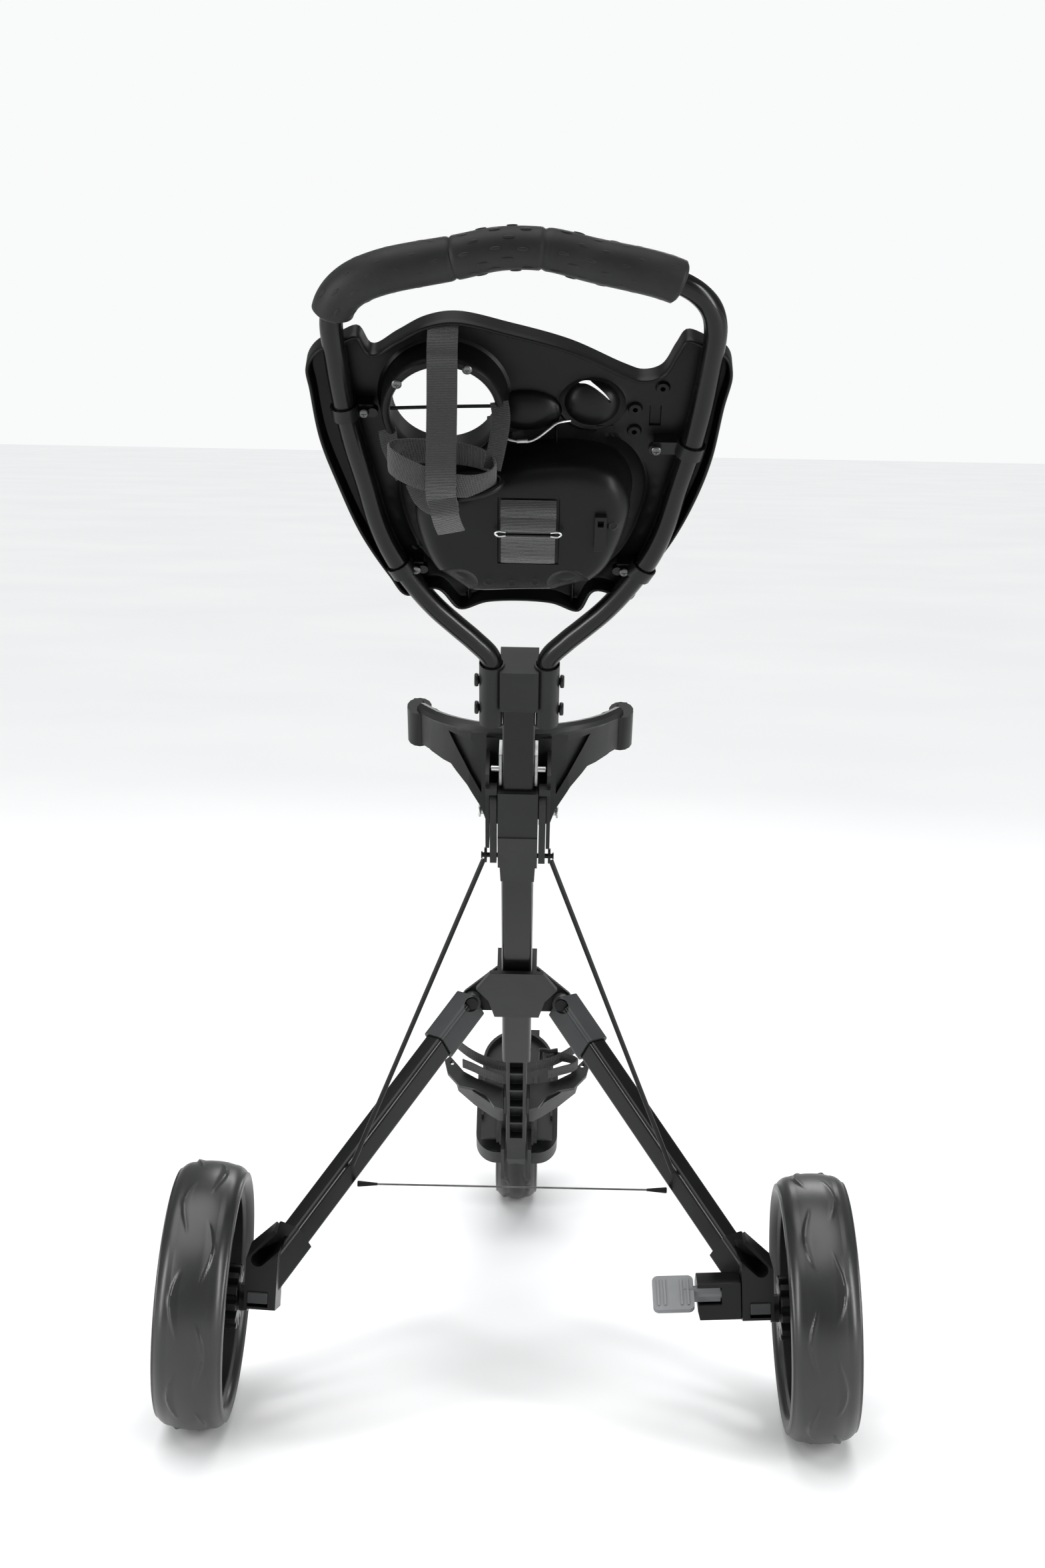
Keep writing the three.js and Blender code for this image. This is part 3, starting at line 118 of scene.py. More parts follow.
# ---- Materials ----
class Finish:
    """A node material, built up a layer at a time."""

    def __init__(self, name, roughness, metallic=0.0, coat=0.0, coords="Object", specular=0.5):
        self.material = bpy.data.materials.new(name)
        self.material.use_nodes = True
        self.tree = self.material.node_tree
        self.shader = self.tree.nodes["Principled BSDF"]
        self.shader.inputs["Roughness"].default_value = roughness
        self.shader.inputs["Metallic"].default_value = metallic
        self.shader.inputs["Coat Weight"].default_value = coat
        self.shader.inputs["Specular IOR Level"].default_value = specular
        self.coords = self.tree.nodes.new("ShaderNodeTexCoord").outputs[coords]
        self.normal = None

    def node(self, kind, **inputs):
        made = self.tree.nodes.new(kind)
        for key, value in inputs.items():
            made.inputs[key.replace("_", " ")].default_value = value
        return made

    def link(self, a, b):
        self.tree.links.new(a, b)

    def noise(self, scale, detail=3.0, stretch=(1, 1, 1)):
        mapping = self.node("ShaderNodeMapping")
        mapping.inputs["Scale"].default_value = stretch
        texture = self.node("ShaderNodeTexNoise", Scale=scale, Detail=detail)
        self.link(self.coords, mapping.inputs["Vector"])
        self.link(mapping.outputs["Vector"], texture.inputs["Vector"])
        return texture.outputs["Fac"]

    def wave(self, scale, axis="X", distortion=0.0):
        texture = self.node("ShaderNodeTexWave", Scale=scale, Distortion=distortion)
        texture.bands_direction = axis
        self.link(self.coords, texture.inputs["Vector"])
        return texture.outputs["Fac"]

    def ramp(self, value, low, high, at=(0.35, 0.65)):
        ramp = self.node("ShaderNodeValToRGB")
        for stop, place, colour in zip(ramp.color_ramp.elements, at, (low, high)):
            stop.position = place
            stop.color = (*colour, 1)
        self.link(value, ramp.inputs["Fac"])
        return ramp.outputs["Color"]

    def colour(self, value, low, high, at=(0.35, 0.65)):
        self.link(self.ramp(value, low, high, at), self.shader.inputs["Base Color"])
        return self

    def rough(self, value, low, high):
        spread = self.node("ShaderNodeMapRange")
        spread.inputs["To Min"].default_value = low
        spread.inputs["To Max"].default_value = high
        self.link(value, spread.inputs["Value"])
        self.link(spread.outputs["Result"], self.shader.inputs["Roughness"])
        return self

    def bump(self, value, distance, strength=1.0):
        bump = self.node("ShaderNodeBump", Distance=distance, Strength=strength)
        self.link(value, bump.inputs["Height"])
        if self.normal:
            self.link(self.normal, bump.inputs["Normal"])
        self.normal = bump.outputs["Normal"]
        self.link(self.normal, self.shader.inputs["Normal"])
        return self


def grey(value, tint=(1, 1, 1)):
    return tuple(value * t for t in tint)


COOL = (0.96, 1.0, 1.03)


def plastic(name, value, rough=0.46, grain=0.00012, specular=0.3):
    made = Finish(name, rough, specular=specular)
    made.colour(made.noise(14, 4), grey(value * 0.88, COOL), grey(value * 1.12, COOL))
    made.rough(made.noise(60, 3), rough - 0.05, rough + 0.07)
    made.bump(made.noise(1700, 2), grain, 0.35)
    made.bump(made.noise(90, 3), 0.0004, 0.06)
    return made.material


def gloss_tube():
    made = Finish("black_tube", 0.2, coat=0.08, specular=0.2)
    made.shader.inputs["Coat Roughness"].default_value = 0.08
    made.colour(made.noise(9, 3), (0.0022, 0.0023, 0.0025), (0.0045, 0.0046, 0.0048))
    made.rough(made.noise(40, 4), 0.16, 0.28)
    made.bump(made.noise(420, 2), 0.00008, 0.22)
    return made.material


def tyre_rubber():
    made = Finish("tyre", 0.34, specular=0.55)
    made.colour(made.noise(11, 5), (0.008, 0.0083, 0.0087), (0.014, 0.0144, 0.0148))
    made.rough(made.noise(26, 5), 0.26, 0.4)
    made.bump(made.noise(1300, 2), 0.00014, 0.3)
    made.bump(made.noise(45, 4), 0.0012, 0.08)
    return made.material


def foam():
    made = Finish("foam", 0.5, specular=0.22)
    made.shader.inputs["Sheen Weight"].default_value = 0.05
    made.shader.inputs["Sheen Roughness"].default_value = 0.5
    made.colour(made.noise(30, 5), (0.005, 0.0052, 0.0055), (0.009, 0.0093, 0.0096))
    made.rough(made.noise(35, 5), 0.42, 0.58)
    made.bump(made.noise(2400, 2), 0.00022, 0.5)
    made.bump(made.noise(160, 3), 0.0006, 0.12)
    return made.material


def webbing():
    made = Finish("webbing", 0.85, coords="UV")
    made.shader.inputs["Sheen Weight"].default_value = 0.25
    across = made.wave(230, "Y", 0.25)
    along = made.wave(310, "X", 0.15)
    made.colour(across, (0.004, 0.0042, 0.0044), (0.015, 0.0155, 0.016), (0.2, 0.9))
    made.bump(across, 0.0006, 0.9)
    made.bump(along, 0.0003, 0.5)
    made.bump(made.noise(1500, 3), 0.0002, 0.4)
    return made.material


def zinc(name="zinc", value=0.52):
    made = Finish(name, 0.3, metallic=1.0)
    made.colour(made.noise(70, 5), grey(value * 0.8), grey(value * 1.2, (0.98, 1, 0.99)))
    made.rough(made.noise(200, 4), 0.26, 0.46)
    made.bump(made.noise(600, 2, (1, 1, 0.1)), 0.00006, 0.4)
    return made.material


TUBE = gloss_tube()
PLASTIC = plastic("frame_plastic", 0.0095, 0.38, specular=0.22)
BRACKET = plastic("bracket_plastic", 0.0055, 0.33, specular=0.22)
CONSOLE = plastic("console_plastic", 0.003, 0.36, specular=0.16)
DARK = plastic("dark_plastic", 0.003, 0.45, specular=0.2)
GREY = plastic("grey_plastic", 0.175, 0.5, specular=0.35)
SLATE = plastic("slate_plastic", 0.03, 0.38, specular=0.25)
TYRE = tyre_rubber()
FOAM = foam()
WEBBING = webbing()
ZINC = zinc()
PLATE = zinc("zinc_plate", 0.3)
STEEL = zinc("dark_steel", 0.11)


# ---- Mesh building ----
def mesh_object(name, vertices, faces, material, body, smooth_deg=40):
    data = bpy.data.meshes.new(name)
    data.from_pydata([tuple(v) for v in vertices], [], faces)
    made = bmesh.new()
    made.from_mesh(data)
    bmesh.ops.remove_doubles(made, verts=made.verts, dist=1e-6)
    bmesh.ops.recalc_face_normals(made, faces=made.faces)
    made.to_mesh(data)
    made.free()
    data.shade_smooth()
    data.set_sharp_from_angle(angle=math.radians(smooth_deg))
    data.materials.append(material)
    thing = bpy.data.objects.new(name, data)
    bpy.context.scene.collection.objects.link(thing)
    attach(thing, body)
    return thing


def bevel(thing, width_mm, segments=2, angle_deg=35):
    modifier = thing.modifiers.new("edges", "BEVEL")
    modifier.width = width_mm * MM
    modifier.segments = segments
    modifier.limit_method = "ANGLE"
    modifier.angle_limit = math.radians(angle_deg)
    normals = thing.modifiers.new("normals", "WEIGHTED_NORMAL")
    normals.keep_sharp = True
    return thing


class Pieces:
    """Vertices and faces gathered from several simple forms into one mesh."""

    def __init__(self):
        self.vertices = []
        self.faces = []

    def add(self, vertices, faces):
        base = len(self.vertices)
        self.vertices += [Vector(v) for v in vertices]
        self.faces += [tuple(base + i for i in f) for f in faces]
        return self

    def loft(self, rings, closed_ends=True, wrap=True):
        """Rings of equal length joined in turn."""
        n = len(rings[0])
        vertices = [p for ring in rings for p in ring]
        faces = []
        for i in range(len(rings) - 1):
            for j in range(n if wrap else n - 1):
                k = (j + 1) % n
                faces.append((i * n + j, i * n + k, (i + 1) * n + k, (i + 1) * n + j))
        if closed_ends:
            faces.append(tuple(reversed(range(n))))
            faces.append(tuple(range((len(rings) - 1) * n, len(rings) * n)))
        return self.add(vertices, faces)

    def object(self, name, material, body, slot, smooth_deg=40):
        return mesh_object(name, self.vertices, self.faces, material, body, smooth_deg)


def basis(way):
    way = Vector(way).normalized()
    helper = Vector((0, 0, 1)) if abs(way.z) < 0.9 else Vector((1, 0, 0))
    first = way.cross(helper).normalized()
    return first, way.cross(first).normalized()


def turned(pieces, centre, way, profile, segments=28, shape=None):
    """A solid of revolution. Profile points are (radius, height) in mm."""
    first, second = basis(way)
    way = Vector(way).normalized()
    rings = []
    for radius, height in profile:
        ring = []
        for k in range(segments):
            a = 2 * math.pi * k / segments
            r = shape(radius, a) if shape else radius
            out = first * math.cos(a) + second * math.sin(a)
            ring.append(Vector(centre) + (out * max(r, 0.001) + way * height) * MM)
        rings.append(ring)
    return pieces.loft(rings)


def screw(name, centre, way, radius, body, slot="frame_plastic", material=None, height=2.2):
    """A domed screw head with a cross recess."""
    recess = radius * 0.62

    def cross(r, a):
        if r > recess or r < 0.01:
            return r
        return r * (0.3 + 0.7 * abs(math.cos(2 * a)) ** 9)

    h = height
    profile = [(radius, -0.6), (radius, h * 0.35), (radius * 0.86, h * 0.78)]
    profile += [(radius * 0.68, h), (recess, h), (recess * 0.92, h * 0.3), (0, h * 0.25)]
    head = turned(Pieces(), centre, way, profile, 32, cross)
    return head.object(name, material or DARK, body, slot, 30)


def path_frames(points, up):
    """A side and an up direction at each point of a path."""
    frames = []
    for i, p in enumerate(points):
        before = points[max(0, i - 1)]
        after = points[min(len(points) - 1, i + 1)]
        along = (after - before).normalized()
        hint = up(i) if callable(up) else Vector(up)
        side = along.cross(hint).normalized()
        frames.append((p, along, side, side.cross(along).normalized()))
    return frames


def tube(pieces, points, radius, sides=24, up=(0, 0, 1), closed=True):
    rings = []
    for i, (p, _, side, top) in enumerate(path_frames(points, up)):
        r = (radius(i / (len(points) - 1)) if callable(radius) else radius) * MM
        ring = []
        for k in range(sides):
            a = 2 * math.pi * k / sides
            ring.append(p + (side * math.cos(a) + top * math.sin(a)) * r)
        rings.append(ring)
    return pieces.loft(rings, closed)


def centripetal(controls, per_span=10):
    """Points of a smooth curve through the controls, the same curve as in the CAD."""
    pts = [Vector(p) for p in controls]
    pts = [2 * pts[0] - pts[1], *pts, 2 * pts[-1] - pts[-2]]
    out = []
    for i in range(1, len(pts) - 2):
        p0, p1, p2, p3 = pts[i - 1 : i + 3]
        t0 = 0.0
        t1 = t0 + (p1 - p0).length ** 0.5
        t2 = t1 + (p2 - p1).length ** 0.5
        t3 = t2 + (p3 - p2).length ** 0.5
        for k in range(per_span):
            t = t1 + (t2 - t1) * k / per_span
            a1 = p0 * ((t1 - t) / (t1 - t0)) + p1 * ((t - t0) / (t1 - t0))
            a2 = p1 * ((t2 - t) / (t2 - t1)) + p2 * ((t - t1) / (t2 - t1))
            a3 = p2 * ((t3 - t) / (t3 - t2)) + p3 * ((t - t2) / (t3 - t2))
            b1 = a1 * ((t2 - t) / (t2 - t0)) + a2 * ((t - t0) / (t2 - t0))
            b2 = a2 * ((t3 - t) / (t3 - t1)) + a3 * ((t - t1) / (t3 - t1))
            out.append(b1 * ((t2 - t) / (t2 - t1)) + b2 * ((t - t1) / (t2 - t1)))
    out.append(pts[-2])
    return out


def along_path(points, start, end, count):
    """Evenly spaced points of a stretch of a path, by share of its length."""
    lengths = [0.0]
    for a, b in zip(points, points[1:]):
        lengths.append(lengths[-1] + (b - a).length)
    out = []
    for k in range(count + 1):
        want = lengths[-1] * (start + (end - start) * k / count)
        i = max(0, min(len(points) - 2, int(np.searchsorted(lengths, want)) - 1))
        t = (want - lengths[i]) / max(lengths[i + 1] - lengths[i], 1e-9)
        out.append(points[i].lerp(points[i + 1], t))
    return out


def ribbon(name, points, out, width_mm, body, thickness_mm=1.7, sides_in=0.0):
    """A flat strap along a path. out gives the direction its broad face looks, for each point."""
    frames = []
    for i, p in enumerate(points):
        before = points[max(0, i - 1)]
        after = points[min(len(points) - 1, i + 1)]
        along = (after - before).normalized()
        face = Vector(out(i) if callable(out) else out)
        face = (face - along * face.dot(along)).normalized()
        frames.append((p, along.cross(face), face))
    across = 8
    vertices, uvs, faces = [], [], []
    travelled = 0.0
    for i, (p, side, face) in enumerate(frames):
        if i:
            travelled += (p - points[i - 1]).length
        width = width_mm[i] if isinstance(width_mm, list) else width_mm
        for level in (0.5, -0.5):
            for k in range(across + 1):
                u = k / across - 0.5
                edge = 1 - 0.45 * (abs(u) * 2) ** 6
                lift = level * thickness_mm * edge - sides_in * (2 * u) ** 2
                vertices.append(p + (side * (u * width) + face * lift) * MM)
                uvs.append((u * width * MM, travelled))
    row = 2 * (across + 1)
    for i in range(len(frames) - 1):
        a, b = i * row, (i + 1) * row
        n = across + 1
        for k in range(across):
            faces.append((a + k, a + k + 1, b + k + 1, b + k))
            faces.append((b + n + k, b + n + k + 1, a + n + k + 1, a + n + k))
        faces.append((a, b, b + n, a + n))
        faces.append((a + n + across, b + n + across, b + across, a + across))
    for a in (0, (len(frames) - 1) * row):
        n = across + 1
        for k in range(across):
            faces.append((a + k, a + n + k, a + n + k + 1, a + k + 1))
    data = bpy.data.meshes.new(name)
    data.from_pydata([tuple(v) for v in vertices], [], faces)
    layer = data.uv_layers.new(name="UVMap")
    for loop in data.loops:
        layer.data[loop.index].uv = uvs[loop.vertex_index]
    made = bmesh.new()
    made.from_mesh(data)
    bmesh.ops.recalc_face_normals(made, faces=made.faces)
    made.to_mesh(data)
    made.free()
    data.shade_smooth()
    data.set_sharp_from_angle(angle=math.radians(50))
    data.materials.append(WEBBING)
    thing = bpy.data.objects.new(name, data)
    bpy.context.scene.collection.objects.link(thing)
    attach(thing, body)
    return thing


# ---- Spread cable between the legs, with a tapered ferrule at each end ----
CABLE_REACH = 160
CABLE_AT = (85 + SHIFT_Y, 225 + SHIFT_Z)
CABLE_RADIUS = 1.0


def spread_cable():
    route = [Vector((x, *CABLE_AT)) * MM for x in np.linspace(-CABLE_REACH, CABLE_REACH, 33)]
    cable = tube(Pieces(), route, CABLE_RADIUS, 16, up=(0, 0, 1)).object(
        "spread_cable_wire", STEEL, "frame", "zinc_steel", 60
    )
    pieces = [cable]
    for side, word in ((-1, "left"), (1, "right")):
        start = Vector((side * (CABLE_REACH - 20), *CABLE_AT)) * MM
        profile = [(1.05, -1), (1.45, -0.4), (1.6, 2), (2.3, 9), (3.0, 17), (3.2, 19), (2.7, 20)]
        ferrule = turned(Pieces(), start, (side, 0, 0), profile, 24).object(
            f"cable_ferrule_{word}", DARK, "frame", "zinc_steel", 40
        )
        pieces.append(ferrule)
    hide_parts("spread_cable")
    for piece in pieces:
        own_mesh(piece)


spread_cable()


# ---- CAD nodes that stay: a finish, softened edges ----
CAD_FINISH = {
    "lower_tube": (TUBE, 1.2), "upper_tube": (TUBE, 1.0), "boom": (PLASTIC, 0.8),
    "boom_tongue": (SLATE, 1.0), "knee_tail": (PLASTIC, 0.7), "knee_casting": (PLASTIC, 1.0),
    "hinge_pin": (ZINC, 0.5), "lower_cradle": (PLASTIC, 1.4), "bag_rest": (PLASTIC, 1.2),
    "front_fork": (PLASTIC, 1.2), "front_axle": (ZINC, 0.8), "leg_hub": (BRACKET, 1.4),
    "side_plate_left": (PLATE, 0.5), "side_plate_right": (PLATE, 0.5), "lock_pin": (ZINC, 0.5),
    "handle_bracket": (PLASTIC, 1.0), "bracket_bolt_lower": (PLASTIC, 1.3),
    "bracket_bolt_upper": (PLASTIC, 1.3), "clamp_upper_left": (BRACKET, 0.9),
    "clamp_upper_right": (BRACKET, 0.9), "clamp_lower_left": (BRACKET, 0.9),
    "clamp_lower_right": (BRACKET, 0.9), "console_lid": (CONSOLE, 1.4), "lid_pin": (ZINC, 0.3),
    "bin_latch": (DARK, 0.6), "upper_cradle": (PLASTIC, 1.0), "yoke": (PLASTIC, 1.0),
    "leg_left": (TUBE, 0.8), "leg_right": (TUBE, 0.8), "leg_cap_left": (SLATE, 1.2),
    "leg_cap_right": (SLATE, 1.2), "axle_bracket_left": (BRACKET, 1.2),
    "axle_bracket_right": (BRACKET, 1.2), "brake_housing": (BRACKET, 1.6),
    "release_button_left": (SLATE, 0.7), "release_button_right": (SLATE, 0.7),
    "brake_pedal": (GREY, 0.7), "brake_pin": (ZINC, 0.4), "rim_left": (BRACKET, 1.0),
    "rim_right": (BRACKET, 1.0), "rim_front": (BRACKET, 1.0), "brake_ring_left": (BRACKET, 0.8),
    "brake_ring_right": (BRACKET, 0.8), "hub_cap_left": (SLATE, 0.8), "hub_cap_right": (SLATE, 0.8),
    "rod_left": (BRACKET, 0.3), "rod_right": (BRACKET, 0.3),
}


def finish_cad_nodes():
    for name, (material, edge) in CAD_FINISH.items():
        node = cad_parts[name]
        data = node.data
        if "custom_normal" in data.attributes:
            data.attributes.remove(data.attributes["custom_normal"])
        data.shade_smooth()
        data.materials.clear()
        data.materials.append(material)
        weld = node.modifiers.new("weld", "WELD")
        weld.merge_threshold = 2e-5
        bevel(node, edge)


finish_cad_nodes()


# ---- Tyres: a crowned tread with raised leaf-shaped ridges ----
def tyre(name, body, centre, way, radius, width, rim_radius, leaves, node):
    """centre and way place the wheel; its outboard side looks along way."""
    half = width / 2
    crown, shoulder = 2.5, 15.0
    profile = [(rim_radius + 0.3, -half + 6)]
    for k in range(9):
        a = math.pi / 2 * k / 8
        x = -half + shoulder * (1 - math.cos(a))
        profile.append((radius - crown - shoulder * (1 - math.sin(a)), x))
    steps = 30
    inner = half - shoulder
    for k in range(1, steps):
        x = -inner + 2 * inner * k / steps
        profile.append((radius - crown * (abs(x) / inner) ** 2.2, x))
    profile += [(r, -x) for r, x in reversed(profile[1:10])]
    profile.append((rim_radius + 0.3, half - 6))
    tilt = Vector(way).normalized()
    first = Vector((0, 1, 0))
    second = tilt.cross(first).normalized()
    around = 288
    length = 76 / radius
    share = 2 * math.pi / leaves
    tread = radius - crown - 9
    raised = 2.4

    def lift(x, a):
        if abs(x) > half - 2:
            return 0.0
        height = 0.0
        for side, offset in ((1, 0.0), (-1, share / 2)):
            t = ((a - offset) % share) / length
            if not 0 < t < 1:
                continue
            swell = math.sin(math.pi * t)
            ridge = side * (7.5 + 11.5 * swell * (0.65 + 0.35 * t))
            back = ridge - side * 7.5 * swell
            d = (x - back) / (ridge - back) if abs(ridge - back) > 0.2 else -1
            if 0 <= d <= 1:
                height = max(height, raised * swell**0.5 * d**1.6)
            elif 1 < d < 1.25:
                height = max(height, raised * swell**0.5 * (1.25 - d) * 4)
        return height

    rings = []
    for k in range(around):
        a = 2 * math.pi * k / around
        out = first * math.cos(a) + second * math.sin(a)
        ring = []
        for r, x in profile:
            drop = lift(x, a) if r > tread else 0.0
            ring.append(Vector(centre) + (out * (r - raised + drop if r > tread else r) + tilt * x) * MM)
        rings.append(ring)
    rings.append(rings[0])
    made = Pieces().loft(rings, closed_ends=False)
    thing = made.object(name, TYRE, body, "tyre", 60)
    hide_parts(node)
    return thing


FRONT_WHEEL = Vector((0, 720 + SHIFT_Y, 110 + SHIFT_Z)) * MM
for side, word in ((1, "right"), (-1, "left")):
    tyre(
        f"tread_{word}", f"{word}_wheel", at_wheel(side, 0, 0, 0), wheel_way(side, 1, 0, 0),
        135, 69, 111, 8, f"tyre_{word}",
    )
tyre("tread_front", "front_wheel", FRONT_WHEEL, (1, 0, 0), 110, 53, 88, 7, "tyre_front")

# ---- Handle loop and foam grip ----
HANDLE_HALF = [
    (25, 150), (25, 205), (27, 219), (41, 237), (57, 254), (75, 274), (92, 298), (111, 332),
    (123, 366), (132, 408), (141, 447), (148, 488), (153, 532), (155, 566), (150, 584), (137, 599),
    (113, 611), (55, 625), (18, 634),
]
HANDLE_DEPTH = 9
HANDLE_RADIUS = 9.6
GRIP_RADIUS = 18.5
GRIP = (0.3985, 0.638)
GRIP_LENGTH = 302.5


def handle_path():
    right = [upper(x, HANDLE_DEPTH, z) for x, z in HANDLE_HALF]
    left = [upper(-x, HANDLE_DEPTH, z) for x, z in reversed(HANDLE_HALF)]
    return centripetal(right + left, 8)


PATH = handle_path()
OUT = upper_way(0, 1, 0)
loop = tube(Pieces(), PATH, HANDLE_RADIUS, 32, up=OUT).object(
    "handle_loop", TUBE, "upper_frame", "black_tube", 60
)
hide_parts("handle_tube")


def grip_foam():
    count = 150
    points = along_path(PATH, *GRIP, count)
    seams = (0.372, 0.614)

    def radius(t):
        end = min(t, 1 - t) * GRIP_LENGTH
        r = GRIP_RADIUS - 0.9 + 0.5 * math.sin(9 * t + 1)
        if end < 2.4:
            r -= 2.4 - math.sqrt(max(0, 2.4**2 - (2.4 - end) ** 2))
        for seam in seams:
            d = abs(t - seam) * GRIP_LENGTH
            r -= 1.5 * math.exp(-((d / 1.5) ** 2))
        return r

    made = tube(Pieces(), points, radius, 48, up=OUT)
    thing = made.object("grip_foam", FOAM, "upper_frame", "foam", 60)
    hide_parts("grip")
    dashes = Pieces()
    frames = path_frames(points, OUT)
    for row, turn in enumerate(range(0, 360, 30)):
        for k in range(12):
            t = (k + (0.5 if row % 2 else 0.0)) / 12 + random.uniform(-0.012, 0.012)
            if min(abs(t - s) for s in (0, 1, *seams)) < 0.03:
                continue
            i = max(1, min(count - 1, int(t * count)))
            p, along, side, top = frames[i]
            a = math.radians(turn + random.uniform(-4, 4))
            out = side * math.cos(a) + top * math.sin(a)
            rings = []
            for u in range(-4, 5):
                share = u / 4
                size = math.sqrt(max(0.02, 1 - share**2))
                ring = []
                for w in range(10):
                    b = 2 * math.pi * w / 10
                    flat = along.cross(out) * (1.5 * size * math.cos(b))
                    rise = out * (GRIP_RADIUS - 1.0 + 0.75 * size * math.sin(b))
                    ring.append(p + (along * (4.6 * share) + flat + rise) * MM)
                rings.append(ring)
            dashes.loft(rings)
    dashes.object("grip_dashes", FOAM, "upper_frame", "foam", 60)


grip_foam()


# ---- Console shell: a plate with a rim, a cup ring, a deep bin and pressed bowls ----
CONSOLE_OUTLINE = [
    (-150, 546), (-135, 552), (-124, 535), (-103, 548), (-80, 562), (-55, 567), (-11, 557),
    (39, 542), (84, 520), (99, 515), (114, 520), (125, 541), (133, 554), (150, 548), (167, 538),
    (172, 522), (167, 489), (160, 437), (149, 396), (132, 353), (106, 306), (97, 287),
    (66, 296), (52, 273), (26, 282), (-28, 282), (-54, 273), (-74, 295), (-101, 287),
    (-116, 309), (-139, 353), (-157, 405), (-170, 451), (-176, 499), (-178, 522), (-168, 538),
]
BIN_OUTLINE = [
    (-90, 405), (-60, 424), (0, 443), (50, 447), (80, 437), (94, 410), (90, 374), (74, 335),
    (50, 317), (0, 312), (-48, 312), (-72, 330), (-88, 367),
]
PLATE_BACK = 22.0
PLATE_FRONT = 26.0
BIN_BACK = -25.0
CUP = (-65, 489)
CUP_RADIUS = 44
# bowls pressed in the plate: middle, half sizes, depth
BOWLS = [((3, 476), (30, 19), 13), ((58, 484), (23, 21), 13)]
# dishes in the bin's back: middle, half sizes, depth
DISHES = [((-54, 329), (18, 15), 6.5), ((41, 330), (18, 15), 6.5)]
BOSSES = [(94, 479), (94, 457), (-110, 437), (116, 500)]
BUTTONS = [(-27, 331), (-7, 330), (13, 332), (-92, 332), (78, 392)]


def closed_curve(points, spacing):
    """A smooth closed outline through the points, as evenly spaced 2-D points."""
    ring = [Vector((*p, 0)) for p in points]
    fine = centripetal([ring[-1], *ring, ring[0], ring[1]], 8)[8:-8]
    lengths = np.cumsum([0.0] + [(b - a).length for a, b in zip(fine, fine[1:])])
    count = int(lengths[-1] / spacing)
    at = np.linspace(0, lengths[-1], count, endpoint=False)
    flat = np.array([(p.x, p.y) for p in fine])
    return np.column_stack([np.interp(at, lengths, flat[:, k]) for k in (0, 1)])


def oval(middle, half, count=48, share=1.0):
    a = np.linspace(0, 2 * math.pi, count, endpoint=False)
    return np.column_stack(
        [middle[0] + half[0] * share * np.cos(a), middle[1] + half[1] * share * np.sin(a)]
    )


def depth_inside(loop, points):
    """Distance of each point from the loop, above zero inside it."""
    a = loop[None, :, :]
    b = np.roll(loop, -1, axis=0)[None, :, :]
    p = points[:, None, :]
    ab = b - a
    t = np.clip(((p - a) * ab).sum(2) / (ab**2).sum(2), 0, 1)
    nearest = np.sqrt(((p - a - ab * t[..., None]) ** 2).sum(2)).min(1)
    above = (a[..., 1] > p[..., 1]) != (b[..., 1] > p[..., 1])
    rise = np.where(np.abs(ab[..., 1]) < 1e-9, 1e-9, ab[..., 1])
    crossing = a[..., 0] + (p[..., 1] - a[..., 1]) * ab[..., 0] / rise
    inside = (above & (p[..., 0] < crossing)).sum(1) % 2 == 1
    return np.where(inside, nearest, -nearest)


def shifted(loop, inward):
    """The loop moved inwards, or outwards when negative."""
    along = np.roll(loop, -1, axis=0) - np.roll(loop, 1, axis=0)
    along /= np.linalg.norm(along, axis=1)[:, None]
    area = np.sum(loop[:, 0] * np.roll(loop[:, 1], -1) - np.roll(loop[:, 0], -1) * loop[:, 1])
    normal = np.column_stack([-along[:, 1], along[:, 0]]) * (1 if area > 0 else -1)
    moved = loop + normal * inward
    keep = np.abs(np.abs(depth_inside(loop, moved)) - abs(inward)) < 0.15 + abs(inward) * 0.1
    return moved[keep]


OUTLINE = closed_curve(CONSOLE_OUTLINE, 3.0)
BIN = closed_curve(BIN_OUTLINE, 3.0)
FILLET = 17.0
BIN_PROFILE_AT = [0, 0.8, 1.5, 2.4] + [
    2.4 + FILLET * (1 - math.cos(math.radians(t))) for t in (15, 30, 45, 60, 75, 90)
]
BIN_PROFILE = [22, 19, 10, BIN_BACK + FILLET] + [
    BIN_BACK + FILLET * (1 - math.sin(math.radians(t))) for t in (15, 30, 45, 60, 75, 90)
]
RIM_AT = [0, 0.5, 1.1, 2.1, 2.8, 3.3, 3.9, 5.2, 7.0]
RIM_BACK = [8.6, 7.4, 7.0, 7.0, 7.6, 10, 19, 21.4, 22]
RING_AT = [44, 45.2, 47.3, 49.8, 51.2, 51.9, 52.4, 53.6, 56]
RING_BACK = [-5.2, -6.9, -7.5, -6.6, -4.4, 0, 14, 20, 22]


def bowl_height(points, middle, half, depth, power=0.5):
    share = ((points[:, 0] - middle[0]) / half[0]) ** 2 + ((points[:, 1] - middle[1]) / half[1]) ** 2
    return depth * np.clip(1 - share, 0, 1) ** power


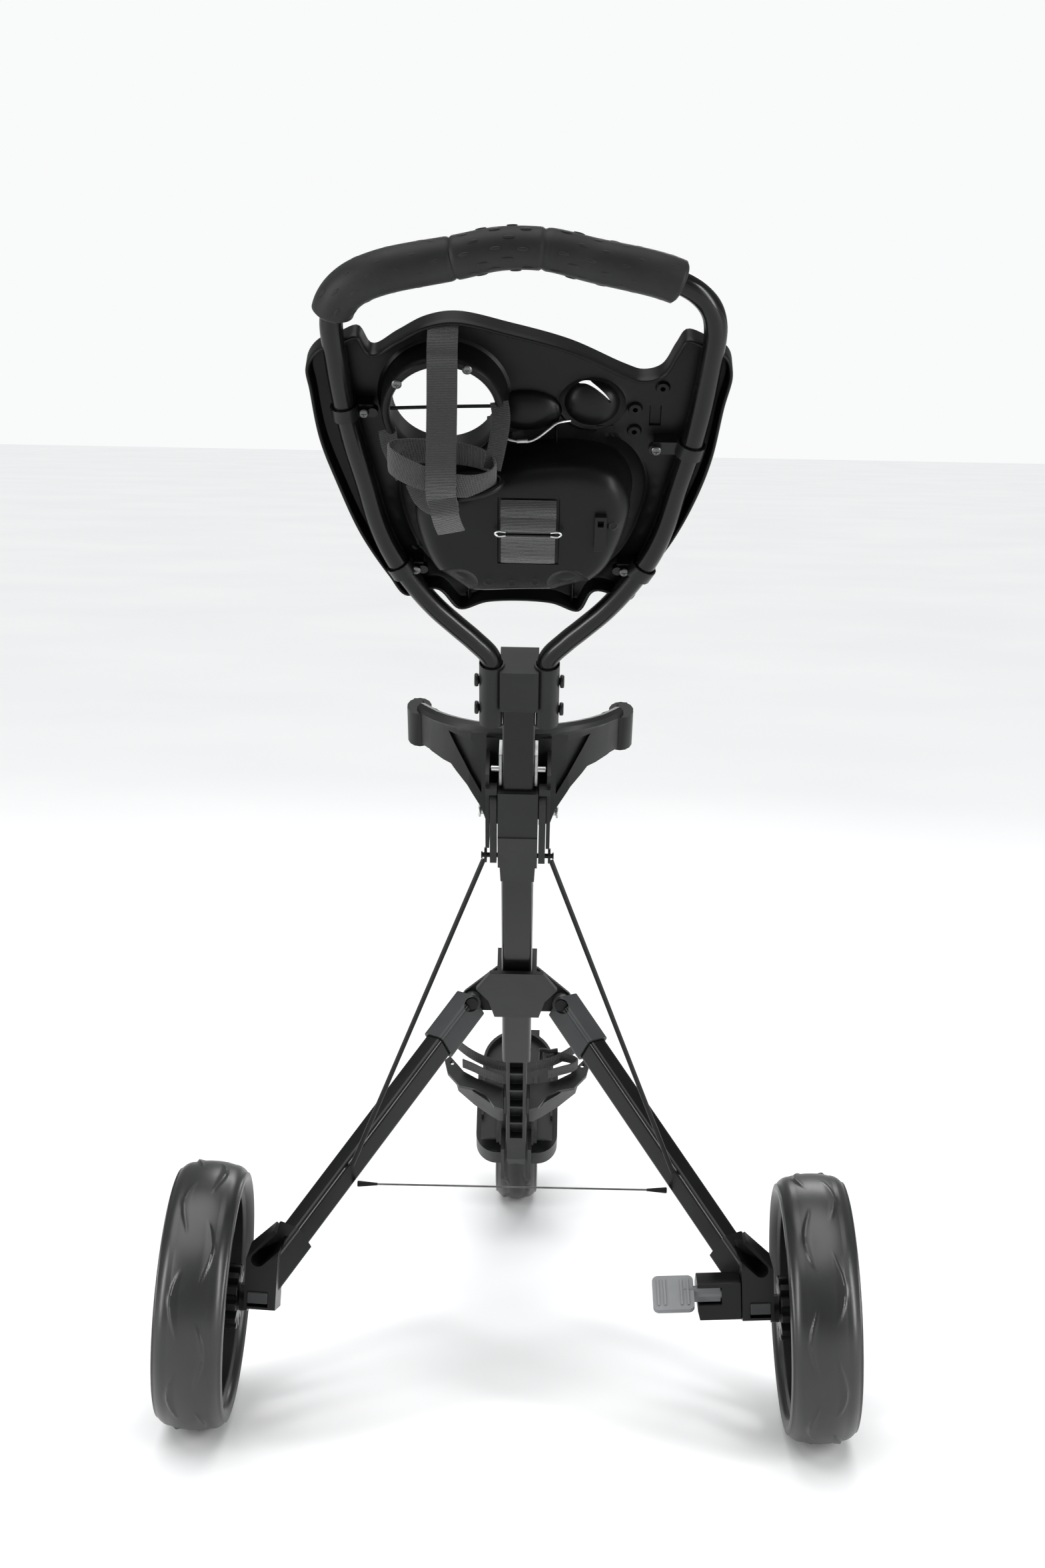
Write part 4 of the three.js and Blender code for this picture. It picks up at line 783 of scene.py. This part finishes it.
def back_face(points):
    y = np.full(len(points), PLATE_BACK)
    y = np.minimum(y, np.interp(depth_inside(OUTLINE, points), RIM_AT, RIM_BACK))
    r = np.hypot(points[:, 0] - CUP[0], points[:, 1] - CUP[1])
    bowls = sum(bowl_height(points, *bowl) for bowl in BOWLS)
    y = np.minimum(y, PLATE_BACK - bowls)
    second = BOWLS[1]
    share = np.sqrt(
        ((points[:, 0] - second[0][0]) / second[1][0]) ** 2
        + ((points[:, 1] - second[0][1]) / second[1][1]) ** 2
    )
    y -= 1.6 * np.exp(-(((share - 1.22) / 0.07) ** 2))
    d = depth_inside(BIN, points)
    y -= 2.2 * np.exp(-(((d + 12) / 2.6) ** 2)) * (points[:, 1] < 452) * (r > 58)
    y = np.minimum(y, np.interp(d, BIN_PROFILE_AT, BIN_PROFILE))
    y -= np.where(d > 0, 1.2 * (1 - np.exp(-np.maximum(d, 0) / 30)), 0)
    y = np.minimum(y, np.interp(r, RING_AT, RING_BACK))
    for middle, half, depth in DISHES:
        dish = bowl_height(points, middle, half, depth, 0.8)
        y += dish
    for middle in BOSSES:
        away = np.hypot(points[:, 0] - middle[0], points[:, 1] - middle[1])
        y -= np.interp(away, [1.6, 2.2, 5.2, 6.4], [-2.5, 3.2, 3.0, 0])
    for middle in BUTTONS:
        away = np.hypot(points[:, 0] - middle[0], points[:, 1] - middle[1])
        y -= 0.7 * np.exp(-(((away - 3.6) / 0.9) ** 2))
    x, z = points.T
    patch = np.minimum.reduce([x + 19.5, 33 - x, z - 350.5, 419.5 - z])
    y += np.interp(patch, [0, 0.7], [0, 1.2])
    slot = np.minimum.reduce([x - 106, 116 - x, z - 462, 482 - z])
    y += np.interp(slot, [0, 0.8], [0, 2.2])
    rib = np.abs(x - 29) + np.maximum(0, np.abs(z - 459) - 11) * 3
    y -= np.interp(rib, [0.5, 1.5], [9, 0]) * (z > 448)
    low_rib = np.minimum(np.abs(x + 46), np.abs(x - 46)) + np.maximum(0, z - 303) * 3
    y -= np.interp(low_rib, [0.5, 1.4], [7, 0]) * (z < 310) * (y > 15)
    return y


def front_face(points):
    y = np.full(len(points), PLATE_FRONT)
    d = depth_inside(BIN, points) - 3
    inner = np.interp(d, BIN_PROFILE_AT, BIN_PROFILE) + 4
    y = np.where(d > 0, np.minimum(y, inner), y)
    return y - sum(bowl_height(points, *bowl) for bowl in BOWLS)


def arc_slot():
    middle = [(45, 502), (52, 504), (59, 502.5), (67, 497), (73, 490)]
    path = centripetal([Vector((*p, 0)) for p in middle], 4)
    upper_side, lower_side = [], []
    for i, (p, along, _, _) in enumerate(path_frames(path, (0, 0, 1))):
        wide = 1.5 * math.sin(math.pi * (i + 0.6) / (len(path) + 0.2)) ** 0.5
        normal = Vector((-along.y, along.x, 0)) * wide
        upper_side.append((p + normal)[:2])
        lower_side.append((p - normal)[:2])
    return np.array(upper_side + lower_side[::-1])


HOLES = [
    oval(CUP, (CUP_RADIUS, CUP_RADIUS), 72),
    arc_slot(),
    np.array([(64, 399), (71, 399), (71, 404), (64, 404)], float),
    oval((-97, 436), (2.6, 3.4), 12),
]


def face_mesh(loops, height, spacing):
    """A Delaunay mesh inside the outline that keeps the loops as edges."""
    points, edges = [], []
    boundaries = [OUTLINE, *HOLES]
    for loop in [*boundaries, *loops]:
        base = len(points)
        points += [tuple(p) for p in loop]
        edges += [(base + i, base + (i + 1) % len(loop)) for i in range(len(loop))]
    fixed = np.array(points)
    grid = []
    row = 0
    z = OUTLINE[:, 1].min()
    while z < OUTLINE[:, 1].max():
        for x in np.arange(-180 + (row % 2) * spacing / 2, 176, spacing):
            grid.append((x, z))
        z += spacing * 0.866
        row += 1
    grid = np.array(grid)
    grid = grid[depth_inside(OUTLINE, grid) > spacing * 0.5]
    near = np.array([np.hypot(*(fixed - g).T).min() for g in grid])
    points += [tuple(g) for g in grid[near > spacing * 0.55]]
    flat, _, faces, *_ = delaunay_2d_cdt([Vector(p) for p in points], edges, [], 0, 1e-5)
    flat = np.array([tuple(p) for p in flat])
    middle = np.array([flat[list(f)].mean(0) for f in faces])
    keep = depth_inside(OUTLINE, middle) > 0
    for hole in HOLES:
        keep &= depth_inside(hole, middle) < 0
    faces = [f for f, k in zip(faces, keep) if k]
    y = height(flat)
    return [upper(p[0], q, p[1]) for p, q in zip(flat, y)], faces


def console_shell():
    loops = [shifted(OUTLINE, d) for d in RIM_AT[1:]]
    loops += [oval(CUP, (r, r), 72) for r in RING_AT[1:]]
    loops += [shifted(BIN, d) for d in (-15, -13.5, -12, -10.5, -9, 0.02, *BIN_PROFILE_AT[1:])]
    for middle, half, _ in [*BOWLS, *DISHES]:
        loops += [oval(middle, half, 40, s) for s in (1.0, 0.985, 0.93, 0.84, 0.7, 0.5, 0.25)]
    loops += [oval(BOWLS[1][0], BOWLS[1][1], 44, s) for s in (1.12, 1.22, 1.32)]
    for middle in BOSSES:
        loops += [oval(middle, (r, r), 16) for r in (1.6, 2.2, 5.2, 6.4)]
    for middle in BUTTONS:
        loops += [oval(middle, (r, r), 14) for r in (1.8, 2.8, 3.6, 4.4, 5.6)]
    for x0, x1, z0, z1, step in ((-19.5, 33, 350.5, 419.5, 0.7), (106, 116, 462, 482, 0.8)):
        for k in (0, step):
            corners = [(x0 + k, z0 + k), (x1 - k, z0 + k), (x1 - k, z1 - k), (x0 + k, z1 - k)]
            loops.append(np.array(corners, float))
    for x, z0, z1 in ((29, 449, 469), (46, 284, 300), (-46, 284, 300)):
        loops += [
            np.array([(x - w, z0), (x + w, z0), (x + w, z1), (x - w, z1)]) for w in (0.5, 1.5)
        ]
    back, back_faces = face_mesh(loops, back_face, 7.0)
    front_loops = [shifted(BIN, 3 + d) for d in (0.02, 2.4, 5, 9, 14, 19.4)]
    for middle, half, _ in BOWLS:
        front_loops += [oval(middle, half, 32, s) for s in (1.0, 0.97, 0.85, 0.6)]
    front, front_faces = face_mesh(front_loops, front_face, 12.0)
    made = Pieces().add(back, back_faces).add(front, front_faces)
    for loop in (OUTLINE, *HOLES):
        ys = np.column_stack([back_face(loop), front_face(loop)])
        rings = []
        for p, (y0, y1) in zip(loop, ys):
            rings.append([upper(p[0], y0 + (y1 - y0) * k / 3, p[1]) for k in range(4)])
        rings.append(rings[0])
        made.loft(rings, closed_ends=False, wrap=False)
    for x in (-30, 62):
        profile = [(3.2, 0), (3.8, 0.6), (3.8, 13.4), (3.2, 14)]
        turned(made, upper(x, 31, 458), (1, 0, 0), profile, 20)
        box = [(x, y, z) for x in (x, x + 14) for y in (21, 31) for z in (455, 461.6)]
        faces = [(0, 1, 3, 2), (4, 6, 7, 5), (0, 4, 5, 1), (2, 3, 7, 6), (0, 2, 6, 4), (1, 5, 7, 3)]
        made.add([upper(*p) for p in box], faces)
    thing = made.object("console_shell", CONSOLE, "upper_frame", "console_plastic", 36)
    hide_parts("console")


console_shell()

# ---- Cup sling, straps, patch and small metal on the console ----
BACKWARDS = upper_way(0, -1, 0)


def upper_path(points, per_span=8):
    return centripetal([upper(*p) for p in points], per_span)


sling = upper_path([
    (-65, 17, 561), (-65, 4, 558), (-65, -9.5, 550), (-65, -13, 538), (-65, -26, 508),
    (-65, -42, 486), (-65, -55, 472), (-65, -59.4, 458), (-65, -59.4, 443), (-63, -57, 432),
])


def strap_out(points, lean):
    def out(i):
        before, after = points[max(0, i - 1)], points[min(len(points) - 1, i + 1)]
        along = (after - before).normalized()
        return Vector(lean).cross(along).normalized() * -1

    return out


strap = ribbon("cup_sling", sling, strap_out(sling, (1, 0, 0)), 25, "upper_frame")
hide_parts("cup_strap")


def cup_hoop():
    count = 72
    points, outs, widths = [], [], []
    for k in range(count + 1):
        a = 2 * math.pi * k / count
        x = CUP[0] + 44 * math.cos(a)
        y = -34 + 22.5 * math.sin(a)
        z = 456 - 7.0 * math.cos(a) + 2.5 * math.sin(2 * a + 0.6)
        points.append(upper(x, y, z))
        outs.append(upper_way(math.cos(a) / 44, math.sin(a) / 22, 0.004 * math.sin(2 * a)))
        widths.append(23.0)
    thing = ribbon("cup_hoop", points, lambda i: outs[i], widths, "upper_frame", 2.0)
    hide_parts("cup_band")
    rim = []
    for k in range(49):
        a = 2 * math.pi * k / 48
        rim.append(upper(-50 + 34 * math.cos(a), -34 + 17 * math.sin(a), 436 + 5 * math.cos(a)))
    tube(Pieces(), rim, 3.0, 12, up=upper_way(0, 0, 1), closed=False).object(
        "cup_base_ring", CONSOLE, "upper_frame", "console_plastic", 60
    )


cup_hoop()
SIDE_STRAPS = {
    "sling_left": [(-112, -3, 470), (-109, -14, 461), (-103, -24, 452), (-97, -30, 441)],
    "sling_right": [(-19, -4, 500), (-17, -12, 488), (-20, -24, 470), (-24, -32, 452)],
    "sling_end": [(-64, -60, 441), (-62, -63.5, 430), (-60, -61, 418), (-57, -56, 405)],
    "sling_under": [(-88, -44, 446), (-80, -50, 432), (-68, -50, 424), (-52, -44, 426)],
}
for name, points in SIDE_STRAPS.items():
    path = upper_path(points)
    wide = 23 if name == "sling_end" else 15
    ribbon(name, path, BACKWARDS, wide, "upper_frame", 1.7)

PATCH = {
    "patch_upper": ([(6.5, -25.4, 417), (6.5, -28.4, 412), (6.5, -28.6, 399), (6.5, -29.4, 390),
                     (6.5, -30.6, 386.5)], 47),
    "patch_lower": ([(6.5, -30.6, 384), (6.5, -29, 380), (6.5, -28.4, 370), (6.5, -28.2, 358),
                     (6.5, -25.6, 352)], 46),
    "patch_fold": ([(6.5, -29.5, 400.5), (6.5, -30.6, 396), (6.5, -30.8, 390), (6.5, -29.8, 387)],
                   46.5),
}
for name, (points, wide) in PATCH.items():
    thing = ribbon(name, upper_path(points, 6), BACKWARDS, wide, "upper_frame", 1.5)
    if name == "patch_upper":
        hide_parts("bin_patch")


def wire(name, points, radius, body, material=ZINC, slot="zinc_steel", smooth=6):
    path = centripetal(points, smooth)
    thing = tube(Pieces(), path, radius, 12, up=(0.1, 0.2, 1)).object(name, material, body, slot, 60)
    return thing


for side in (-1, 1):
    x = 6.5 + side * 24
    loop_points = [
        upper(x - side * 5, -31, 387.6), upper(x + side * 1.5, -31, 388.2),
        upper(x + side * 4, -31, 386), upper(x + side * 1.5, -31, 383.4),
        upper(x - side * 5, -31, 384),
    ]
    word = "right" if side > 0 else "left"
    wire(f"patch_ring_{word}", loop_points, 0.85, "upper_frame")

BAIL = [(-24, 10, 464), (-16, 3, 460.5), (-5, 1, 458), (6, 1, 458), (13, 2, 461), (22, 4, 468),
        (29, 7, 472.5), (40, 12, 472)]
wire("bail_wire", [upper(*p) for p in BAIL], 1.15, "upper_frame")
sleeve_path = [upper(-4 + 2.2 * k, 0.9, 458 + 0.12 * k) for k in range(5)]
tube(Pieces(), sleeve_path, 1.9, 16, up=BACKWARDS).object(
    "bail_sleeve", ZINC, "upper_frame", "zinc_steel", 40
)
rod_path = [upper(-111 + 93 * k / 12, 3 + 0.6 * math.sin(k / 4), 487 + 0.35 * k) for k in range(13)]
tube(Pieces(), rod_path, 1.5, 14, up=BACKWARDS).object(
    "cup_rod", DARK, "upper_frame", "frame_plastic", 60
)
for name, x, z, y, size in (
    ("ring_screw_left", -102.6, 517, -7.2, 4.2), ("ring_screw_right", -45, 532, -7.2, 4.2),
    ("clamp_screw_upper_left", -131.5, 480, 5.0, 4.3),
    ("clamp_screw_upper_right", 112.5, 448, 5.0, 4.3),
    ("clamp_screw_lower_left", -91.5, 318, 5.0, 4.3),
    ("clamp_screw_lower_right", 90.5, 320, 5.0, 4.3),
):
    screw(name, upper(x, y, z), BACKWARDS, size, "upper_frame", "zinc_steel", STEEL, 1.6)

# ---- Bag strap in the lower cradle: its bed, and its two ends behind ----
STRAP_BED_RADIUS = 100.9
STRAP_BED_AT = -585.0
STRAP_ENDS = {
    "bag_strap_left": [(-64, 48), (-52, 43), (-38, 36), (-24, 31), (-15, 28)],
    "bag_strap_right": [(34, 57), (49, 59), (64, 56), (71, 51), (66, 46), (52, 41), (37, 36)],
}
BUCKLE_X = 37.0


def bag_strap():
    bed, looks = [], []
    for k in range(49):
        a = math.radians(-47 + 94 * k / 48)
        bed.append(
            lower(
                STRAP_BED_RADIUS * math.sin(a),
                44 + 102 - STRAP_BED_RADIUS * math.cos(a),
                STRAP_BED_AT,
            )
        )
        looks.append(lower_way(-math.sin(a), math.cos(a), 0))
    thing = ribbon("bag_strap_bed", bed, lambda i: looks[i], 24.6, "frame", 1.8)
    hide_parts("lower_strap")
    for name, points in STRAP_ENDS.items():
        path = centripetal([lower(x, y, STRAP_BED_AT + 2) for x, y in points], 6)
        out = strap_out(path, lower_way(0, 0, 1))
        ribbon(name, path, out, 22.0, "frame", 1.7)


def bag_buckle():
    """A ladder-lock buckle: a frame with two bars, rounded at its ends."""
    made = Pieces()
    y = 58.5
    long_bars = [(BUCKLE_X - 9, 2.6), (BUCKLE_X - 1, 2.0), (BUCKLE_X + 8, 2.4)]
    for x, radius in long_bars:
        bar = [lower(x, y + 1.2, STRAP_BED_AT + 2 + z) for z in np.linspace(-14, 14, 9)]
        tube(made, bar, radius, 14, up=lower_way(0, 1, 0))
    for z in (-14, 14):
        rail = [
            lower(x, y + 1.2 + 0.8 * math.sin(k), STRAP_BED_AT + 2 + z)
            for k, x in enumerate(np.linspace(BUCKLE_X - 11, BUCKLE_X + 10.5, 9))
        ]
        tube(made, rail, 2.5, 14, up=lower_way(0, 1, 0))
    made.object("bag_buckle", DARK, "frame", "frame_plastic", 60)


bag_strap()
bag_buckle()


# ---- Floor, light and world ----
def make_floor():
    size = 60
    rows = 24
    floor = bmesh.new()
    grid = [[floor.verts.new((-size + 2 * size * i / rows, -size + 2 * size * j / rows, 0.0))
             for i in range(rows + 1)] for j in range(rows + 1)]
    for j in range(rows):
        for i in range(rows):
            floor.faces.new((grid[j][i], grid[j][i + 1], grid[j + 1][i + 1], grid[j + 1][i]))
    data = bpy.data.meshes.new("floor")
    floor.to_mesh(data)
    floor.free()
    paint = Finish("floor", 0.75)
    paint.colour(paint.noise(0.8, 3), (0.86, 0.865, 0.87), (0.89, 0.893, 0.896))
    data.materials.append(paint.material)
    thing = bpy.data.objects.new("floor", data)
    bpy.context.scene.collection.objects.link(thing)


def area_light(name, place, target, power, size, size_y=None):
    data = bpy.data.lights.new(name, "AREA")
    data.energy = power
    data.shape = "RECTANGLE"
    data.size = size
    data.size_y = size_y or size
    light = bpy.data.objects.new(name, data)
    bpy.context.scene.collection.objects.link(light)
    light.location = place
    way = Vector(target) - Vector(place)
    light.rotation_euler = way.to_track_quat("-Z", "Y").to_euler()


def make_world():
    """White where the camera looks straight at it, dimmer for what it lights and reflects."""
    world = bpy.data.worlds.new("studio")
    world.use_nodes = True
    tree = world.node_tree
    background = tree.nodes["Background"]
    background.inputs["Color"].default_value = (0.96, 0.97, 0.98, 1)
    background.inputs["Strength"].default_value = 0.3
    seen = tree.nodes.new("ShaderNodeBackground")
    seen.inputs["Color"].default_value = (0.95, 0.955, 0.96, 1)
    path = tree.nodes.new("ShaderNodeLightPath")
    mix = tree.nodes.new("ShaderNodeMixShader")
    tree.links.new(path.outputs["Is Camera Ray"], mix.inputs["Fac"])
    tree.links.new(background.outputs["Background"], mix.inputs[1])
    tree.links.new(seen.outputs["Background"], mix.inputs[2])
    tree.links.new(mix.outputs["Shader"], tree.nodes["World Output"].inputs["Surface"])
    bpy.context.scene.world = world
    bpy.context.scene.view_settings.view_transform = "Standard"


def sun_light(name, toward, strength, spread_deg):
    data = bpy.data.lights.new(name, "SUN")
    data.energy = strength
    data.angle = math.radians(spread_deg)
    light = bpy.data.objects.new(name, data)
    bpy.context.scene.collection.objects.link(light)
    light.rotation_euler = Vector(toward).to_track_quat("-Z", "Y").to_euler()


make_floor()
make_world()
sun_light("overhead", (0.12, 0.1, -1), 2.35, 60)
area_light("strip_right", (2.4, -1.7, 1.3), (0, 0, 0.5), 60, 0.45, 2.2)
area_light("strip_left", (-2.4, -1.7, 1.2), (0, 0, 0.5), 52, 0.45, 2.2)
area_light("back", (0.4, 2.6, 2.2), (0, 0, 0.6), 22, 1.6, 0.8)
